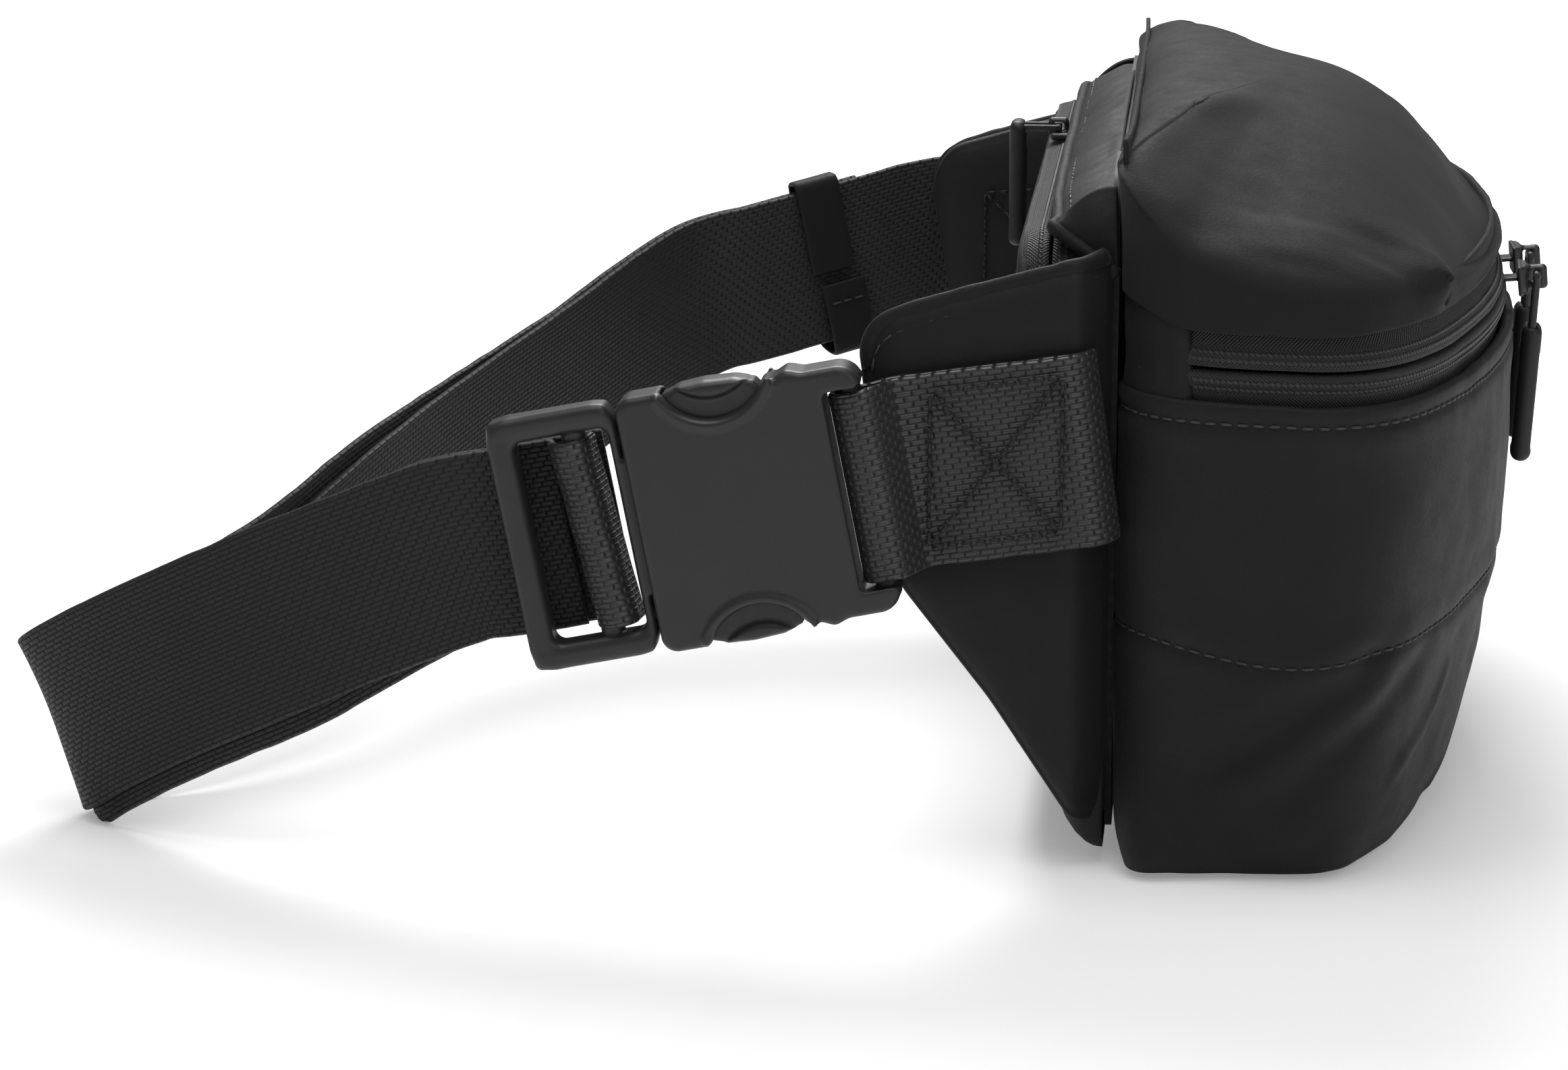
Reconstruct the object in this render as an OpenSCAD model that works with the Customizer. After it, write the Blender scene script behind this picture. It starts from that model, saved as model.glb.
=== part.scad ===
// Waist bag: zipped main compartment with a lift-up lid, slim rear pocket,
// padded hip wings and an adjustable webbing belt with a side-release buckle.
// Frame: +Z up, front of the bag towards -Y, wearer towards +Y; "near" is the -X side, "far" the +X.
// Origin: on the base, at the seam between main compartment and rear pocket.

/* [Bag body] */
// Overall width of the main compartment
bag_w = 260; // [250:1:270]
// Depth of the main compartment at the zip, front face to back seam
bag_d = 82; // [80:0.5:86]
// Height of the closing line of the main zip above the base
zip_z = 103.6; // [102.6:0.1:104.6]
// Height of the lid at its crown
lid_top = 150; // [148:0.5:154]
// Thickness of the coated outer fabric
fabric_t = 1.5; // [1.2:0.1:1.6]

/* [Hip wings] */
// How far each hip wing reaches behind the back seam
wing_reach = 49.5; // [47:0.5:50]
// Width across the outer faces of the two hip wings
wing_span = 234; // [233:0.5:234]

/* [Belt] */
// Width of the belt webbing
webbing_w = 38; // [36:0.5:38]
// Thickness of the belt webbing
webbing_t = 1.5; // [1.3:0.1:1.5]

/* [Buckle] */
// Downward slope of the buckle axis, in degrees
buckle_slope = 11.2; // [10.8:0.1:11.6]
// Thickness of the buckle socket
socket_t = 11.5; // [11:0.1:12]
// Width across the buckle
buckle_w = 51.4; // [50.8:0.1:52]

/* [Zip pulls] */
// Length of the moulded grip on each main zip pull
grip_len = 30; // [26:1:32]
// Distance of each main slider from the middle of the front, in degrees of the front arc
slider_rest = 2.3; // [2:0.1:3]

/* [Hidden] */
$fn = 48;
half_w = bag_w / 2;
back_x = half_w - 26;      // half-width of the straight back edge
wing_x = wing_span / 2;
hem_lo = zip_z - 6.3;      // top edge of the front and side panel
hem_hi = zip_z + 7.4;      // lower edge of the lid
hinge_z = 139.5;
// front arc of the zip track: chord half-width, sagitta, radius, centre
arc_x = half_w * 0.70;
arc_sag = 13.5;
arc_r = (arc_x * arc_x + arc_sag * arc_sag) / (2 * arc_sag);
arc_cy = arc_r - bag_d;

black = [0.16, 0.15, 0.155];
soft_black = [0.22, 0.21, 0.215];
webbing_color = [0.13, 0.13, 0.135];
lining_color = [0.30, 0.30, 0.32];
foam_color = [0.75, 0.75, 0.72];
board_color = [0.85, 0.85, 0.83];

// ---------- lists and curves ----------
function lerp(from, to, t) = from + (to - from) * t;
function unit(v) = v / norm(v);
function reversed(list) = [for (i = [len(list)-1:-1:0]) list[i]];
function pick(pts, idx) = [for (i = idx) pts[i]];
function at_z(pts, z) = [for (p = pts) [p.x, p.y, z]];
function bezier(q, t) =
    q[0]*pow(1-t, 3) + q[1]*3*t*pow(1-t, 2) + q[2]*3*t*t*(1-t) + q[3]*pow(t, 3);
function catmull_rom(q, t) = 0.5 * (2*q[1] + (q[2] - q[0])*t
    + (2*q[0] - 5*q[1] + 4*q[2] - q[3])*t*t + (3*q[1] - q[0] - 3*q[2] + q[3])*t*t*t);
// closed outline moved inwards along its vertex normals
function inset(pts, dist) = let (n = len(pts)) [for (i = [0:n-1])
    let (along = unit(pts[(i + 1) % n] - pts[(i + n - 1) % n]))
    pts[i] + dist * [-along.y, along.x]];
// an outer run of points and the inner run back
function strip(outer, inner, idx) = concat(pick(outer, idx), reversed(pick(inner, idx)));

// ---------- solids ----------
// triangles between successive rings of n points, m rings in all
function side_faces(n, m) = [for (j = [0:m-2], i = [0:n-1]) let (k = (i + 1) % n)
    each [[j*n+i, j*n+k, (j+1)*n+k], [j*n+i, (j+1)*n+k, (j+1)*n+i]]];
// closed solid through rings with the same number of points, capped at both ends
module skin(rings) {
    n = len(rings[0]);
    m = len(rings);
    polyhedron(points = [for (ring = rings) each ring],
        faces = concat([[for (i = [n-1:-1:0]) i]], side_faces(n, m), [[for (i = [0:n-1]) (m-1)*n+i]]),
        convexity = 8);
}
// as skin, for rings made by strip(), with strip-shaped ends
module strip_skin(rings) {
    n = len(rings[0]);
    m = len(rings);
    k = (m-1)*n;
    polyhedron(points = [for (ring = rings) each ring],
        faces = concat(
            [for (i = [0:n/2-2]) each [[n-1-i, n-2-i, i+1], [n-1-i, i+1, i]]],
            side_faces(n, m),
            [for (i = [0:n/2-2]) each [[k+i, k+i+1, k+n-2-i], [k+i, k+n-2-i, k+n-1-i]]]),
        convexity = 8);
}
module round_rect(width, height, radius) {
    square([width - 2*radius, height], center = true);
    square([width, height - 2*radius], center = true);
    for (x = [-1, 1], y = [-1, 1])
        translate([x*(width/2 - radius), y*(height/2 - radius)]) circle(radius);
}
module block(corner, size) translate(corner) cube(size);
// outline given in (y, z), extruded along X
module plate_yz(from, to)
    translate([from, 0, 0]) rotate([90, 0, 90]) linear_extrude(to - from) children();
// outline given in (x, z), extruded along Y
module plate_xz(from, to)
    translate([0, to, 0]) rotate([90, 0, 0]) linear_extrude(to - from) children();

// ---------- plan of the main compartment ----------
function front_arc_y(x) = arc_cy - sqrt(arc_r*arc_r - x*x);
arc_end = [arc_x, front_arc_y(arc_x)];
arc_tangent = unit([arc_cy - arc_end.y, arc_x]);
side_x = half_w - 1;
side_mid = [side_x, -38];
// +X half, from back middle to front middle
side_back = [[back_x, 0], [half_w - 10, 0], [side_x, -16], side_mid];
side_front = [side_mid, [side_x, -54], arc_end + 22 * arc_tangent, arc_end];
half_plan = concat(
    [for (i = [0:3]) [back_x * i / 4, 0]],
    [for (i = [0:8]) bezier(side_back, i / 8)],
    [for (i = [1:8]) bezier(side_front, i / 8)],
    [for (i = [1:8]) let (x = arc_x * (1 - i / 8)) [x, front_arc_y(x)]]);
half_n = len(half_plan);
// closed outline, anticlockwise seen from above
plan = concat(reversed(half_plan), [for (i = [1:half_n-2]) [-half_plan[i].x, half_plan[i].y]]);
// indices of the plan in front of the line y = limit, from the -X side round the front to +X
function run(limit) = [for (i = concat([for (k = [half_n:len(plan)-1]) k], [for (k = [0:half_n-1]) k]))
    if (plan[i].y < limit) i];

// taper of the soft body towards its base: [z, scale] and [z, extra inset]
taper_x = [[0, 0.93], [12, 0.955], [40, 0.985], [70, 1], [300, 1]];
taper_y = [[0, 0.868], [8, 0.888], [20, 0.918], [32, 0.942], [44, 0.972], [56, 0.988],
    [72, 0.998], [90, 1], [300, 1]];
base_rounding = [[0, 3.5], [2, 2.2], [5, 1], [9, 0.3], [14, 0]];
function slice(z, depth = 0) = inset(
    [for (p = plan) [p.x * lookup(z, taper_x), p.y * lookup(z, taper_y)]],
    depth + lookup(z, base_rounding));

// ---------- main compartment ----------
seam_y = -0.1;             // panels end just in front of the back seam
tab_y = -14;               // the zip runs forward of this line
gap_zip = 0.6;             // half gap between the two zip tapes
lining_in = 3.2;           // outer and inner faces of the lining, inset from the plan
lining_out = 3.8;
tape_in = [1.9, 2.7];      // faces of the zip tapes and coils, inset from the plan
coil_in = [2.9, 4.5];
coil_h = 1.8;
tab_t = 1.6;
tab_gap = 0.4;             // between the end tabs and the hems
shell_z = [1.8, 4, 7, 11, 16, 25, 38, 54, 72, 90, hem_lo];
lining_z = [5, 9, 14, 25, 40, 60, 80, 94];
lining_floor_t = 0.7;
stitch_z = [hem_lo - 3.6, 46.5];

module base_panel() color(black) linear_extrude(1.6) {
    polygon(slice(0));
    // strip across the back seam
    translate([-88, -2]) square([176, 5]);
}
module base_board() color(board_color)
    translate([0, 0, 2]) linear_extrude(1.4) polygon(inset(slice(0), 4));
module body_shell() color(black) strip_skin([for (z = reversed(shell_z))
    at_z(strip(slice(z), slice(z, fabric_t), run(seam_y)), z)]);
module body_lining() color(lining_color) skin(concat(
    [for (z = lining_z) at_z(slice(z, lining_in), z)],
    [for (z = reversed(lining_z))
        at_z(slice(z, lining_out), z == lining_z[0] ? z + lining_floor_t : z)]));

// open band round the zip track, between two insets of the plan
module band(insets, from, to) translate([0, 0, from]) linear_extrude(to - from)
    polygon(strip(inset(plan, insets[0]), inset(plan, insets[1]), run(tab_y)));
module lower_zip_tape() color(webbing_color) band(tape_in, zip_z - 11.5, zip_z - gap_zip);
module upper_zip_tape() color(webbing_color) band(tape_in, zip_z + gap_zip, zip_z + 9);
module lower_zip_coil() color(webbing_color)
    band(coil_in, zip_z - gap_zip - coil_h, zip_z - gap_zip);
module upper_zip_coil() color(webbing_color)
    band(coil_in, zip_z + gap_zip, zip_z + gap_zip + coil_h);
module zip_end_tabs() color(black) for (s = [0, 1]) mirror([s, 0, 0]) {
    idx = [for (i = run(seam_y)) if (plan[i].x > 0 && plan[i].y > tab_y + 0.6) i];
    translate([0, 0, hem_lo + tab_gap]) linear_extrude(hem_hi - hem_lo - 2*tab_gap)
        polygon(strip(plan, inset(plan, tab_t), idx));
}
module hem_stitching() color(soft_black) for (z = stitch_z)
    translate([0, 0, z]) linear_extrude(0.6)
        polygon(strip(inset(slice(z), -0.6), inset(slice(z), -0.15), run(-6)));
module rear_divider() color(lining_color)
    plate_xz(0.4, 1.8) translate([0, 70.2]) round_rect(2*back_x - 4, 134, 10);

// ---------- lid ----------
// [y / bag_d, share of the rise from hem to hinge] of the lid's side wall
wall_rise = [[-1, 0], [-0.7, 0.03], [-0.35, 0.13], [-0.165, 0.28], [-0.06, 0.64], [0, 1]];
// [y / bag_d, height relative to lid_top] along the middle line
crown_drop = [[-1, -35], [-0.93, -30], [-0.847, -20], [-0.735, -11.5], [-0.607, -6.5], [-0.47, -3],
    [-0.353, -0.3], [-0.26, 1.2], [-0.165, 1.6], [-0.07, 1.6], [0, 0]];
// ring positions on the lid's top, 0 at the wall and 90 at the middle
lid_angles = [5, 11, 19, 30, 42, 54, 66, 76, 84, 88.5];
lid_center = [0, -40];
function wall_top(y) = lerp(hem_hi + 3, hinge_z + 1, lookup(y / bag_d, wall_rise));
function crown(y) = lid_top + lookup(y / bag_d, crown_drop);
function side_drop(x) = 8 * pow(x / 100, 2);
// point of the lid's top reached from an outline point
function lid_point(start, wall, angle, depth) =
    let (p = lid_center + (start - lid_center) * cos(angle),
        top = angle > 88 ? crown(lid_center.y)
            : lerp(wall, crown(p.y) - side_drop(p.x), pow(sin(angle), 0.85)))
    [p.x, p.y, top - depth * lerp(0.6, 1, sin(angle))];
function lid_rings(depth, rim) = let (edge = inset(plan, depth), last = len(edge) - 1) concat(
    [[for (i = [0:last]) [edge[i].x, edge[i].y, plan[i].y > -0.6 ? hinge_z - 1 : rim]]],
    [[for (i = [0:last]) [edge[i].x, edge[i].y, wall_top(plan[i].y) - depth * 0.6]]],
    [for (a = lid_angles) [for (i = [0:last]) lid_point(edge[i], wall_top(plan[i].y), a, depth)]]);
module lid_layer(outer, inner, rim)
    skin(concat(reversed(lid_rings(outer, rim)), lid_rings(inner, rim)));
module lid_shell() color(black) lid_layer(0, fabric_t, hem_hi);
module lid_lining() color(lining_color) lid_layer(lining_in, lining_out, hem_hi - 2);

// ---------- rear pocket and back panel ----------
pocket_y = 2.2;            // front edge of the pocket and of the wings
gusset_w = 216;
gusset_h = 112;
gusset_r = 20;
gusset_t = 1.3;
rear_zip_len = 192;
rear_tape_z = 125.6;
rear_tape_t = 0.8;
front_tape_y = [4.2, 13.4];
rear_tape_y = [14.6, 19];
rear_coil = [1.5, 1.6];    // width, height
piping_len = 190;
flap_fold = [12.6, 130.8]; // centre of the rolled edge, (y, z)

module rear_gusset() color(black) plate_xz(pocket_y, 13.8) difference() {
    translate([0, 68]) round_rect(gusset_w, gusset_h, gusset_r);
    translate([0, 68])
        round_rect(gusset_w - 2*gusset_t, gusset_h - 2*gusset_t, gusset_r - gusset_t);
    // open top
    translate([-130, 112]) square([260, 30]);
}
module rear_flap() color(black) plate_yz(-101, 101) {
    polygon([[pocket_y, 138.6], [pocket_y, 137], [11.6, 130.2], [12.6, 131.4]]);
    translate(flap_fold) circle(1.4, $fn = 24);
}
module rear_tape(span) color(webbing_color)
    block([-rear_zip_len/2, span[0], rear_tape_z], [rear_zip_len, span[1] - span[0], rear_tape_t]);
module rear_zip_front_tape() rear_tape(front_tape_y);
module rear_zip_rear_tape() rear_tape(rear_tape_y);
module rear_zip_coil() color(webbing_color) for (y = [front_tape_y[1] - rear_coil[0], rear_tape_y[0]])
    block([-rear_zip_len/2, y, 123.8], [rear_zip_len, rear_coil[0], rear_coil[1]]);
module rear_piping() color(black) translate([-piping_len/2, 18.6, 123.2])
    rotate([0, 90, 0]) cylinder(r = 1.6, h = piping_len, $fn = 24);

// padded back: small corners at the top, large ones at the bottom
back_half = 111;
back_z = [17, 121];
low_r = 40;
top_r = 16;
function corner(center, radius, start) =
    [for (a = [start:10:start + 90]) center + radius * [cos(a), sin(a)]];
module back_outline(margin = 0) {
    top = [back_half - top_r, back_z[1] - top_r];
    low = [back_half - low_r, back_z[0] + low_r];
    polygon(concat(
        corner(top, top_r - margin, 0), corner([-top.x, top.y], top_r - margin, 90),
        corner([-low.x, low.y], low_r - margin, 180), corner(low, low_r - margin, 270)));
}
module back_panel_cover() color(black) plate_xz(19.2, 20.6) back_outline();
module back_panel_foam() color(foam_color) plate_xz(15.4, 19) back_outline(2);
module back_panel_lining() color(lining_color) plate_xz(14.2, 15.2) back_outline(1);

// ---------- hip wings ----------
wing_cover_t = 1.1;
// (y, z), from the lower front corner round the rear edge
wing_pts = [[pocket_y, 9.6], [7.7, 10.9], [24, 33], [42, 57], [46, 80],
    [wing_reach, 101], [wing_reach - 0.8, 107], [wing_reach - 4.5, 111.6],
    [24, 117.6], [pocket_y, 123.2]];
// layer of the near wing, from and to measured inwards from its outer face
module wing_layer(from, to, margin = 1.5)
    plate_yz(-wing_x + from, -wing_x + to) offset(delta = -margin) polygon(wing_pts);
module wing_cover() {
    wing_layer(0, wing_cover_t, 0);
    // flange at the front edge, sewn into the side of the rear pocket
    block([-wing_x, pocket_y, 16], [wing_x - gusset_w/2 - 0.4, wing_cover_t, 104]);
}
module wing_foam() wing_layer(1.3, 4.1);
module wing_lining() wing_layer(4.3, 5.3);
module far_side() mirror([1, 0, 0]) children();
module wing_near_cover() color(black) wing_cover();
module wing_near_foam() color(foam_color) wing_foam();
module wing_near_lining() color(lining_color) wing_lining();
module wing_far_cover() color(black) far_side() wing_cover();
module wing_far_foam() color(foam_color) far_side() wing_foam();
module wing_far_lining() color(lining_color) far_side() wing_lining();

// ---------- main zip sliders and pulls ----------
pull_y = -5.0;             // pull hinge line: from the arc, and above the zip line
pull_z = 0.9;
link_w = 6.4;
link_t = 1.6;
link_arm = 1.2;
// placed on the front arc, angle from the middle, local -Y pointing out of the bag
module on_arc(angle)
    translate([0, arc_cy, 0]) rotate([0, 0, angle]) translate([0, -arc_r, 0]) children();
module at_pull() translate([0, pull_y, zip_z + pull_z]) children();
module slider() color(soft_black) translate([0, 0, zip_z]) {
    // outer plate
    plate_xz(-3.6, -1.4) round_rect(11, 8, 2);
    // neck between the tapes, inner plate behind the lower coil
    block([-3, -1.6, -0.4], [6, 7.5, 0.8]);
    block([-4.5, 4.9, -4], [9, 1.2, 4.4]);
    // bridge that holds the pull
    for (z = [-3.2, 2]) block([-1.4, -6.2, z], [2.8, 2.8, 1.4]);
    block([-1.4, -7.4, -3.2], [2.8, 1.3, 6.6]);
}
module pull_link() color(soft_black) at_pull() {
    rotate([0, 90, 0]) translate([0, 0, -link_w/2]) cylinder(r = link_t/2, h = link_w, $fn = 24);
    for (x = [-link_w/2, link_w/2 - link_arm])
        block([x, -link_t/2, -12], [link_arm, link_t, 12]);
    block([-link_w/2, -link_t/2, -13.2], [link_w, link_t, 1.4]);
}
module pull_grip() color(black) at_pull() difference() {
    plate_xz(-2.2, 2.2) translate([0, -10.6 - grip_len/2]) round_rect(8.4, grip_len, 3.8);
    // pocket for the link
    block([-3.3, -0.9, -13.3], [6.6, 1.8, 5]);
}
module slider_near() on_arc(-slider_rest) slider();
module pull_near_link() on_arc(-slider_rest) pull_link();
module pull_near_grip() on_arc(-slider_rest) pull_grip();
module slider_far() on_arc(slider_rest) slider();
module pull_far_link() on_arc(slider_rest) pull_link();
module pull_far_grip() on_arc(slider_rest) pull_grip();

// ---------- rear zip slider, runs along X ----------
rear_slider_at = [28, (front_tape_y[1] + rear_tape_y[0]) / 2, rear_tape_z + rear_tape_t + 0.4];
rear_hinge_at = rear_slider_at + [0, 3.15, 2.3];
rear_grip_at = rear_hinge_at + [0, 8.95, 0];
module rear_slider() color(soft_black) translate(rear_slider_at) {
    // top plate, neck, lower plate
    block([-5, -2.6, 0], [10, 8, 1.2]);
    block([-3, -0.3, -4.2], [6, 0.6, 4.4]);
    block([-4.5, -2.6, -5.2], [9, 5.2, 1.2]);
    // bridge
    for (y = [0.9, 4.3]) block([-1.3, y, 1], [2.6, 1.1, 2.8]);
    block([-1.3, 0.9, 3.5], [2.6, 4.5, 1]);
}
module rear_pull_link() color(soft_black) translate(rear_hinge_at) {
    translate([-3, 0, 0]) rotate([0, 90, 0]) cylinder(r = 0.7, h = 6, $fn = 24);
    for (x = [-3, 2]) block([x, 0, -0.7], [1, 8.8, 1.4]);
    block([-3, 8.2, -0.7], [6, 1.4, 1.4]);
}
module rear_pull_grip() color(black) translate(rear_grip_at) difference() {
    plate_xz(-1.9, 1.9) translate([0, -12.5]) round_rect(8.6, 28, 3.6);
    block([-3.1, -5, -0.8], [6.2, 5.8, 1.6]);
}

// ---------- buckle ----------
// local axes: +Y along the buckle away from the wing, +Z across it, -X outwards
buckle_at = [-124, 45.5, 80.3];
anchor_bar_y = 2.6;        // local places along the buckle
mouth_y = 48;
plug_bar_y = 57.6;
slot_h = 40.8;             // clear height for the anchor webbing
cheek_x = 3.7;             // inner faces of the socket's two cheeks
core_x = 3.8;              // half thickness of the socket's core and ribs
tongue_x = 3.3;            // half thickness of tongue and prongs
turn_r = 2.8;              // inner radius of the webbing turn
module in_buckle() translate(buckle_at) rotate([-buckle_slope, 0, 0]) children();
module socket_outline() difference() {
    union() {
        translate([11, -buckle_w/2 + 1]) square([mouth_y - 11, buckle_w - 2]);
        translate([22.5, 0]) square([51, buckle_w - 6], center = true);
        translate([39, 0]) round_rect(18, buckle_w, 3);
        translate([9, 0]) round_rect(18.4, 49.6, 4.5);
    }
    // finger scoops in both edges
    for (s = [-1, 1]) translate([28.4, s*30]) circle(11);
    // square ends, then the webbing slot
    translate([mouth_y, -40]) square([30, 80]);
    translate([-20, -40]) square([19.8, 80]);
    translate([8, 0]) round_rect(5.4, slot_h, 1.5);
}
module socket_body() difference() {
    union() {
        plate_yz(-socket_t/2, -cheek_x) socket_outline();
        plate_yz(cheek_x, socket_t/2) socket_outline();
        // solid core at the wing end
        plate_yz(-core_x, core_x) intersection() {
            socket_outline();
            translate([-2, -30]) square([15.4, 60]);
        }
        // ribs beside the tongue
        for (s = [-1, 1]) block([-core_x, 13, s*8.4 - 0.8], [2*core_x, 26, 1.6]);
    }
    block([-10, -1, -slot_h/2], [20, 11.6, slot_h]);
}
module buckle_socket() color(soft_black) in_buckle() {
    // round bar that carries the anchor webbing
    translate([0, anchor_bar_y, -20.8]) cylinder(r = 2.3, h = 41.6);
    socket_body();
}
module buckle_plug() color(soft_black) in_buckle() {
    plate_yz(-3.25, 3.25) difference() {
        translate([61.4, 0]) round_rect(26, buckle_w - 0.4, 5);
        translate([59.9, 0]) round_rect(18.8, 41, 1.8);
    }
    // centre bar
    translate([0, plug_bar_y, -21]) cylinder(r = 2.5, h = 42);
    // block inside the mouth, and the tongue
    plate_yz(-tongue_x, tongue_x) {
        translate([41, -14]) square([8.6, 28]);
        translate([16, -6.5]) square([26, 13]);
    }
}
// local (y, z), round the prong from its root
prong_pts = [[44.6, 15.2], [44.6, 20.2], [38.6, 21.6], [38.2, 25], [35, 26], [24, 25.6],
    [19.5, 24.6], [18.6, 22.5], [18.4, 16.6], [20.5, 14.6], [30, 16]];
module prong(side) color(soft_black) in_buckle() plate_yz(-tongue_x, tongue_x) scale([1, side]) {
    translate([44.6, 17.6]) circle(2.6);
    polygon(prong_pts);
}
module prong_upper() prong(1);
module prong_lower() prong(-1);
// half turn of webbing round the plug's bar, with two short straight ends
module plug_webbing_turn() color(webbing_color) in_buckle()
    translate([0, plug_bar_y, -webbing_w/2]) {
        difference() {
            cylinder(r = turn_r + webbing_t, h = webbing_w);
            translate([0, 0, -1]) cylinder(r = turn_r, h = webbing_w + 2);
            block([0, -10, -1], [10, 20, webbing_w + 2]);
        }
        for (y = [-turn_r - webbing_t, turn_r]) block([0, y, 0], [3.2, webbing_t, webbing_w]);
    }

// ---------- webbing paths ----------
// station: [x, y, z, lean of the width towards -X, lean towards +Y], leans in degrees
function xyz(station) = [station.x, station.y, station.z];
// direction of the webbing's width, square to the path
function width_dir(station, along) =
    let (lean = [-tan(station[3]), tan(station[4]), 1]) unit(lean - along * (lean * along));
function smooth(stations, steps) = let (last = len(stations) - 1) concat(
    [for (i = [0:last-1], k = [0:steps-1])
        catmull_rom([for (j = [-1:2]) stations[min(max(i + j, 0), last)]], k/steps)],
    [stations[last]]);
// flat strip of webbing along a path, moved off to one side by shift
module webbing(path, shift = 0) {
    last = len(path) - 1;
    rings = [for (i = [0:last]) let (
        along = unit(xyz(path[min(i+1, last)]) - xyz(path[max(i-1, 0)])),
        across = width_dir(path[i], along),
        normal = cross(along, across),
        mid = xyz(path[i]) + normal * shift)
        [for (s = [[1, 1], [1, -1], [-1, -1], [-1, 1]])
            mid + across * s[0] * webbing_w/2 + normal * s[1] * webbing_t/2]];
    skin(reversed(rings));
}
// station beside the buckle, at a local x and y
function by_buckle(x, y) = [buckle_at.x + x, buckle_at.y + y * cos(buckle_slope),
    buckle_at.z - y * sin(buckle_slope), 0, buckle_slope];

// ---------- belt ----------
// straight run beside the far wing, where the keeper slides
run_start = [94.5, 104, 77.2];
run_end = [118.8, 52, 89.2];
function on_run(t) = concat(lerp(run_start, run_end, t), [4, 8.5]);
belt_stations = concat(
    [for (y = [53, 63, 75, 87]) by_buckle(6.35, y)],
    [[-117.5, 150, 56.4, 0, 13.2], [-115, 172, 44.8, -4.6, 14.9], [-108.6, 194, 33.4, -3, 17],
     [-101.5, 209.5, 24.4, -2, 17.4], [-95.5, 215.5, 19.8, 0, 17.6], [-88.5, 214.2, 19.8, 2, 18],
     [-82, 207, 22.2, 5, 17], [-68, 192, 28.5, 9, 16], [-45, 177, 36, 14, 15],
     [-15, 164, 44.6, 18.5, 14], [25, 149.5, 53, 21, 13], [60, 131, 62.4, 18, 11.5],
     [81, 117, 70.5, 10, 10]],
    [for (t = [0:0.25:1]) on_run(t)],
    [[119.4, 42, 90.2, 0.5, 8], [118.8, 32, 90.6, 0, 7.5], [118.6, 20, 90.9, 0, 7],
     [118.6, 7, 91.2, 0, 6.5]]);
belt_steps = 5;
belt_path = smooth(belt_stations, belt_steps);
// the tail leaves out the first span and the last five
tail_path = [for (i = [belt_steps : len(belt_path) - 1 - 5*belt_steps]) belt_path[i]];
tail_shift = webbing_t + 0.4;
module belt_webbing() color(webbing_color) webbing(belt_path);
module belt_tail() color(webbing_color) webbing(tail_path, -tail_shift);

// keeper loop round both layers, near the middle of the straight run
keeper_at = 0.56;
keeper_size = [11, 6.6, 42.4];
keeper_wall = 1;
module tail_keeper() color(black) {
    along = unit(run_end - run_start);
    mid = lerp(run_start, run_end, keeper_at);
    across = width_dir(on_run(keeper_at), along);
    normal = cross(along, across);
    opening = [keeper_size.x + 1, keeper_size.y - 2*keeper_wall, keeper_size.z - 2*keeper_wall];
    multmatrix([for (i = [0:2]) [along[i], normal[i], across[i], mid[i]]])
        translate([0, -tail_shift/2, 0]) difference() {
            block(-keeper_size/2, keeper_size);
            block(-opening/2, opening);
        }
}

// anchor webbing: one strip from the wing, round the bar of the socket and back to the wing
wrap_r = 3.45;
function anchor_z(y) = y < 40 ? 86.3 - (y - 6) * 0.144
    : buckle_at.z - (y - buckle_at.y) * tan(buckle_slope);
function anchor(x, y) = [x, y, anchor_z(y), 0, y < 38 ? 8.2 : buckle_slope];
anchor_path = concat(
    [for (y = [6, 22, 38, 41]) anchor(-wing_x - 1.05, y)],
    [anchor(buckle_at.x + 4.4, 44.2), anchor(buckle_at.x + 3.6, 46.4)],
    [for (a = [0:18:180]) by_buckle(wrap_r * cos(a), anchor_bar_y + wrap_r * sin(a))],
    [anchor(buckle_at.x - 3.2, 46.3), anchor(buckle_at.x - 1.9, 44.4),
     anchor(buckle_at.x + 1, 42.4), anchor(-wing_x - 3.6, 40.8), anchor(-wing_x - 3.0, 39.4)],
    [for (y = [36, 22, 6]) anchor(-wing_x - 2.95, y)]);
module anchor_webbing() color(webbing_color) webbing(anchor_path);

// crossed box of stitches; skew raises its front edge; x and y are [from, to]
stitch_half = 0.45;
module box_stitch(x, y, mid_z, height, skew) color(soft_black) plate_yz(x[0], x[1]) {
    top = mid_z + height/2;
    low = mid_z - height/2;
    corners = [[y[0], top + skew], [y[1], top], [y[1], low], [y[0], low + skew]];
    for (ends = [[0, 1], [1, 2], [2, 3], [3, 0], [0, 2], [1, 3]])
        let (a = corners[ends[0]], b = corners[ends[1]],
            along = unit(b - a) * stitch_half, side = [-along.y, along.x])
        polygon([a - along + side, a - along - side, b + along - side, b + along + side]);
}
module near_box_stitch() box_stitch([-wing_x - 4.7, -wing_x - 4.2], [10, 35], 81.9, 31, 4);
module far_box_stitch() box_stitch([wing_x - 6, wing_x - 5.4], [10, 38], 88.5, 30, 1.5);

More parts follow.
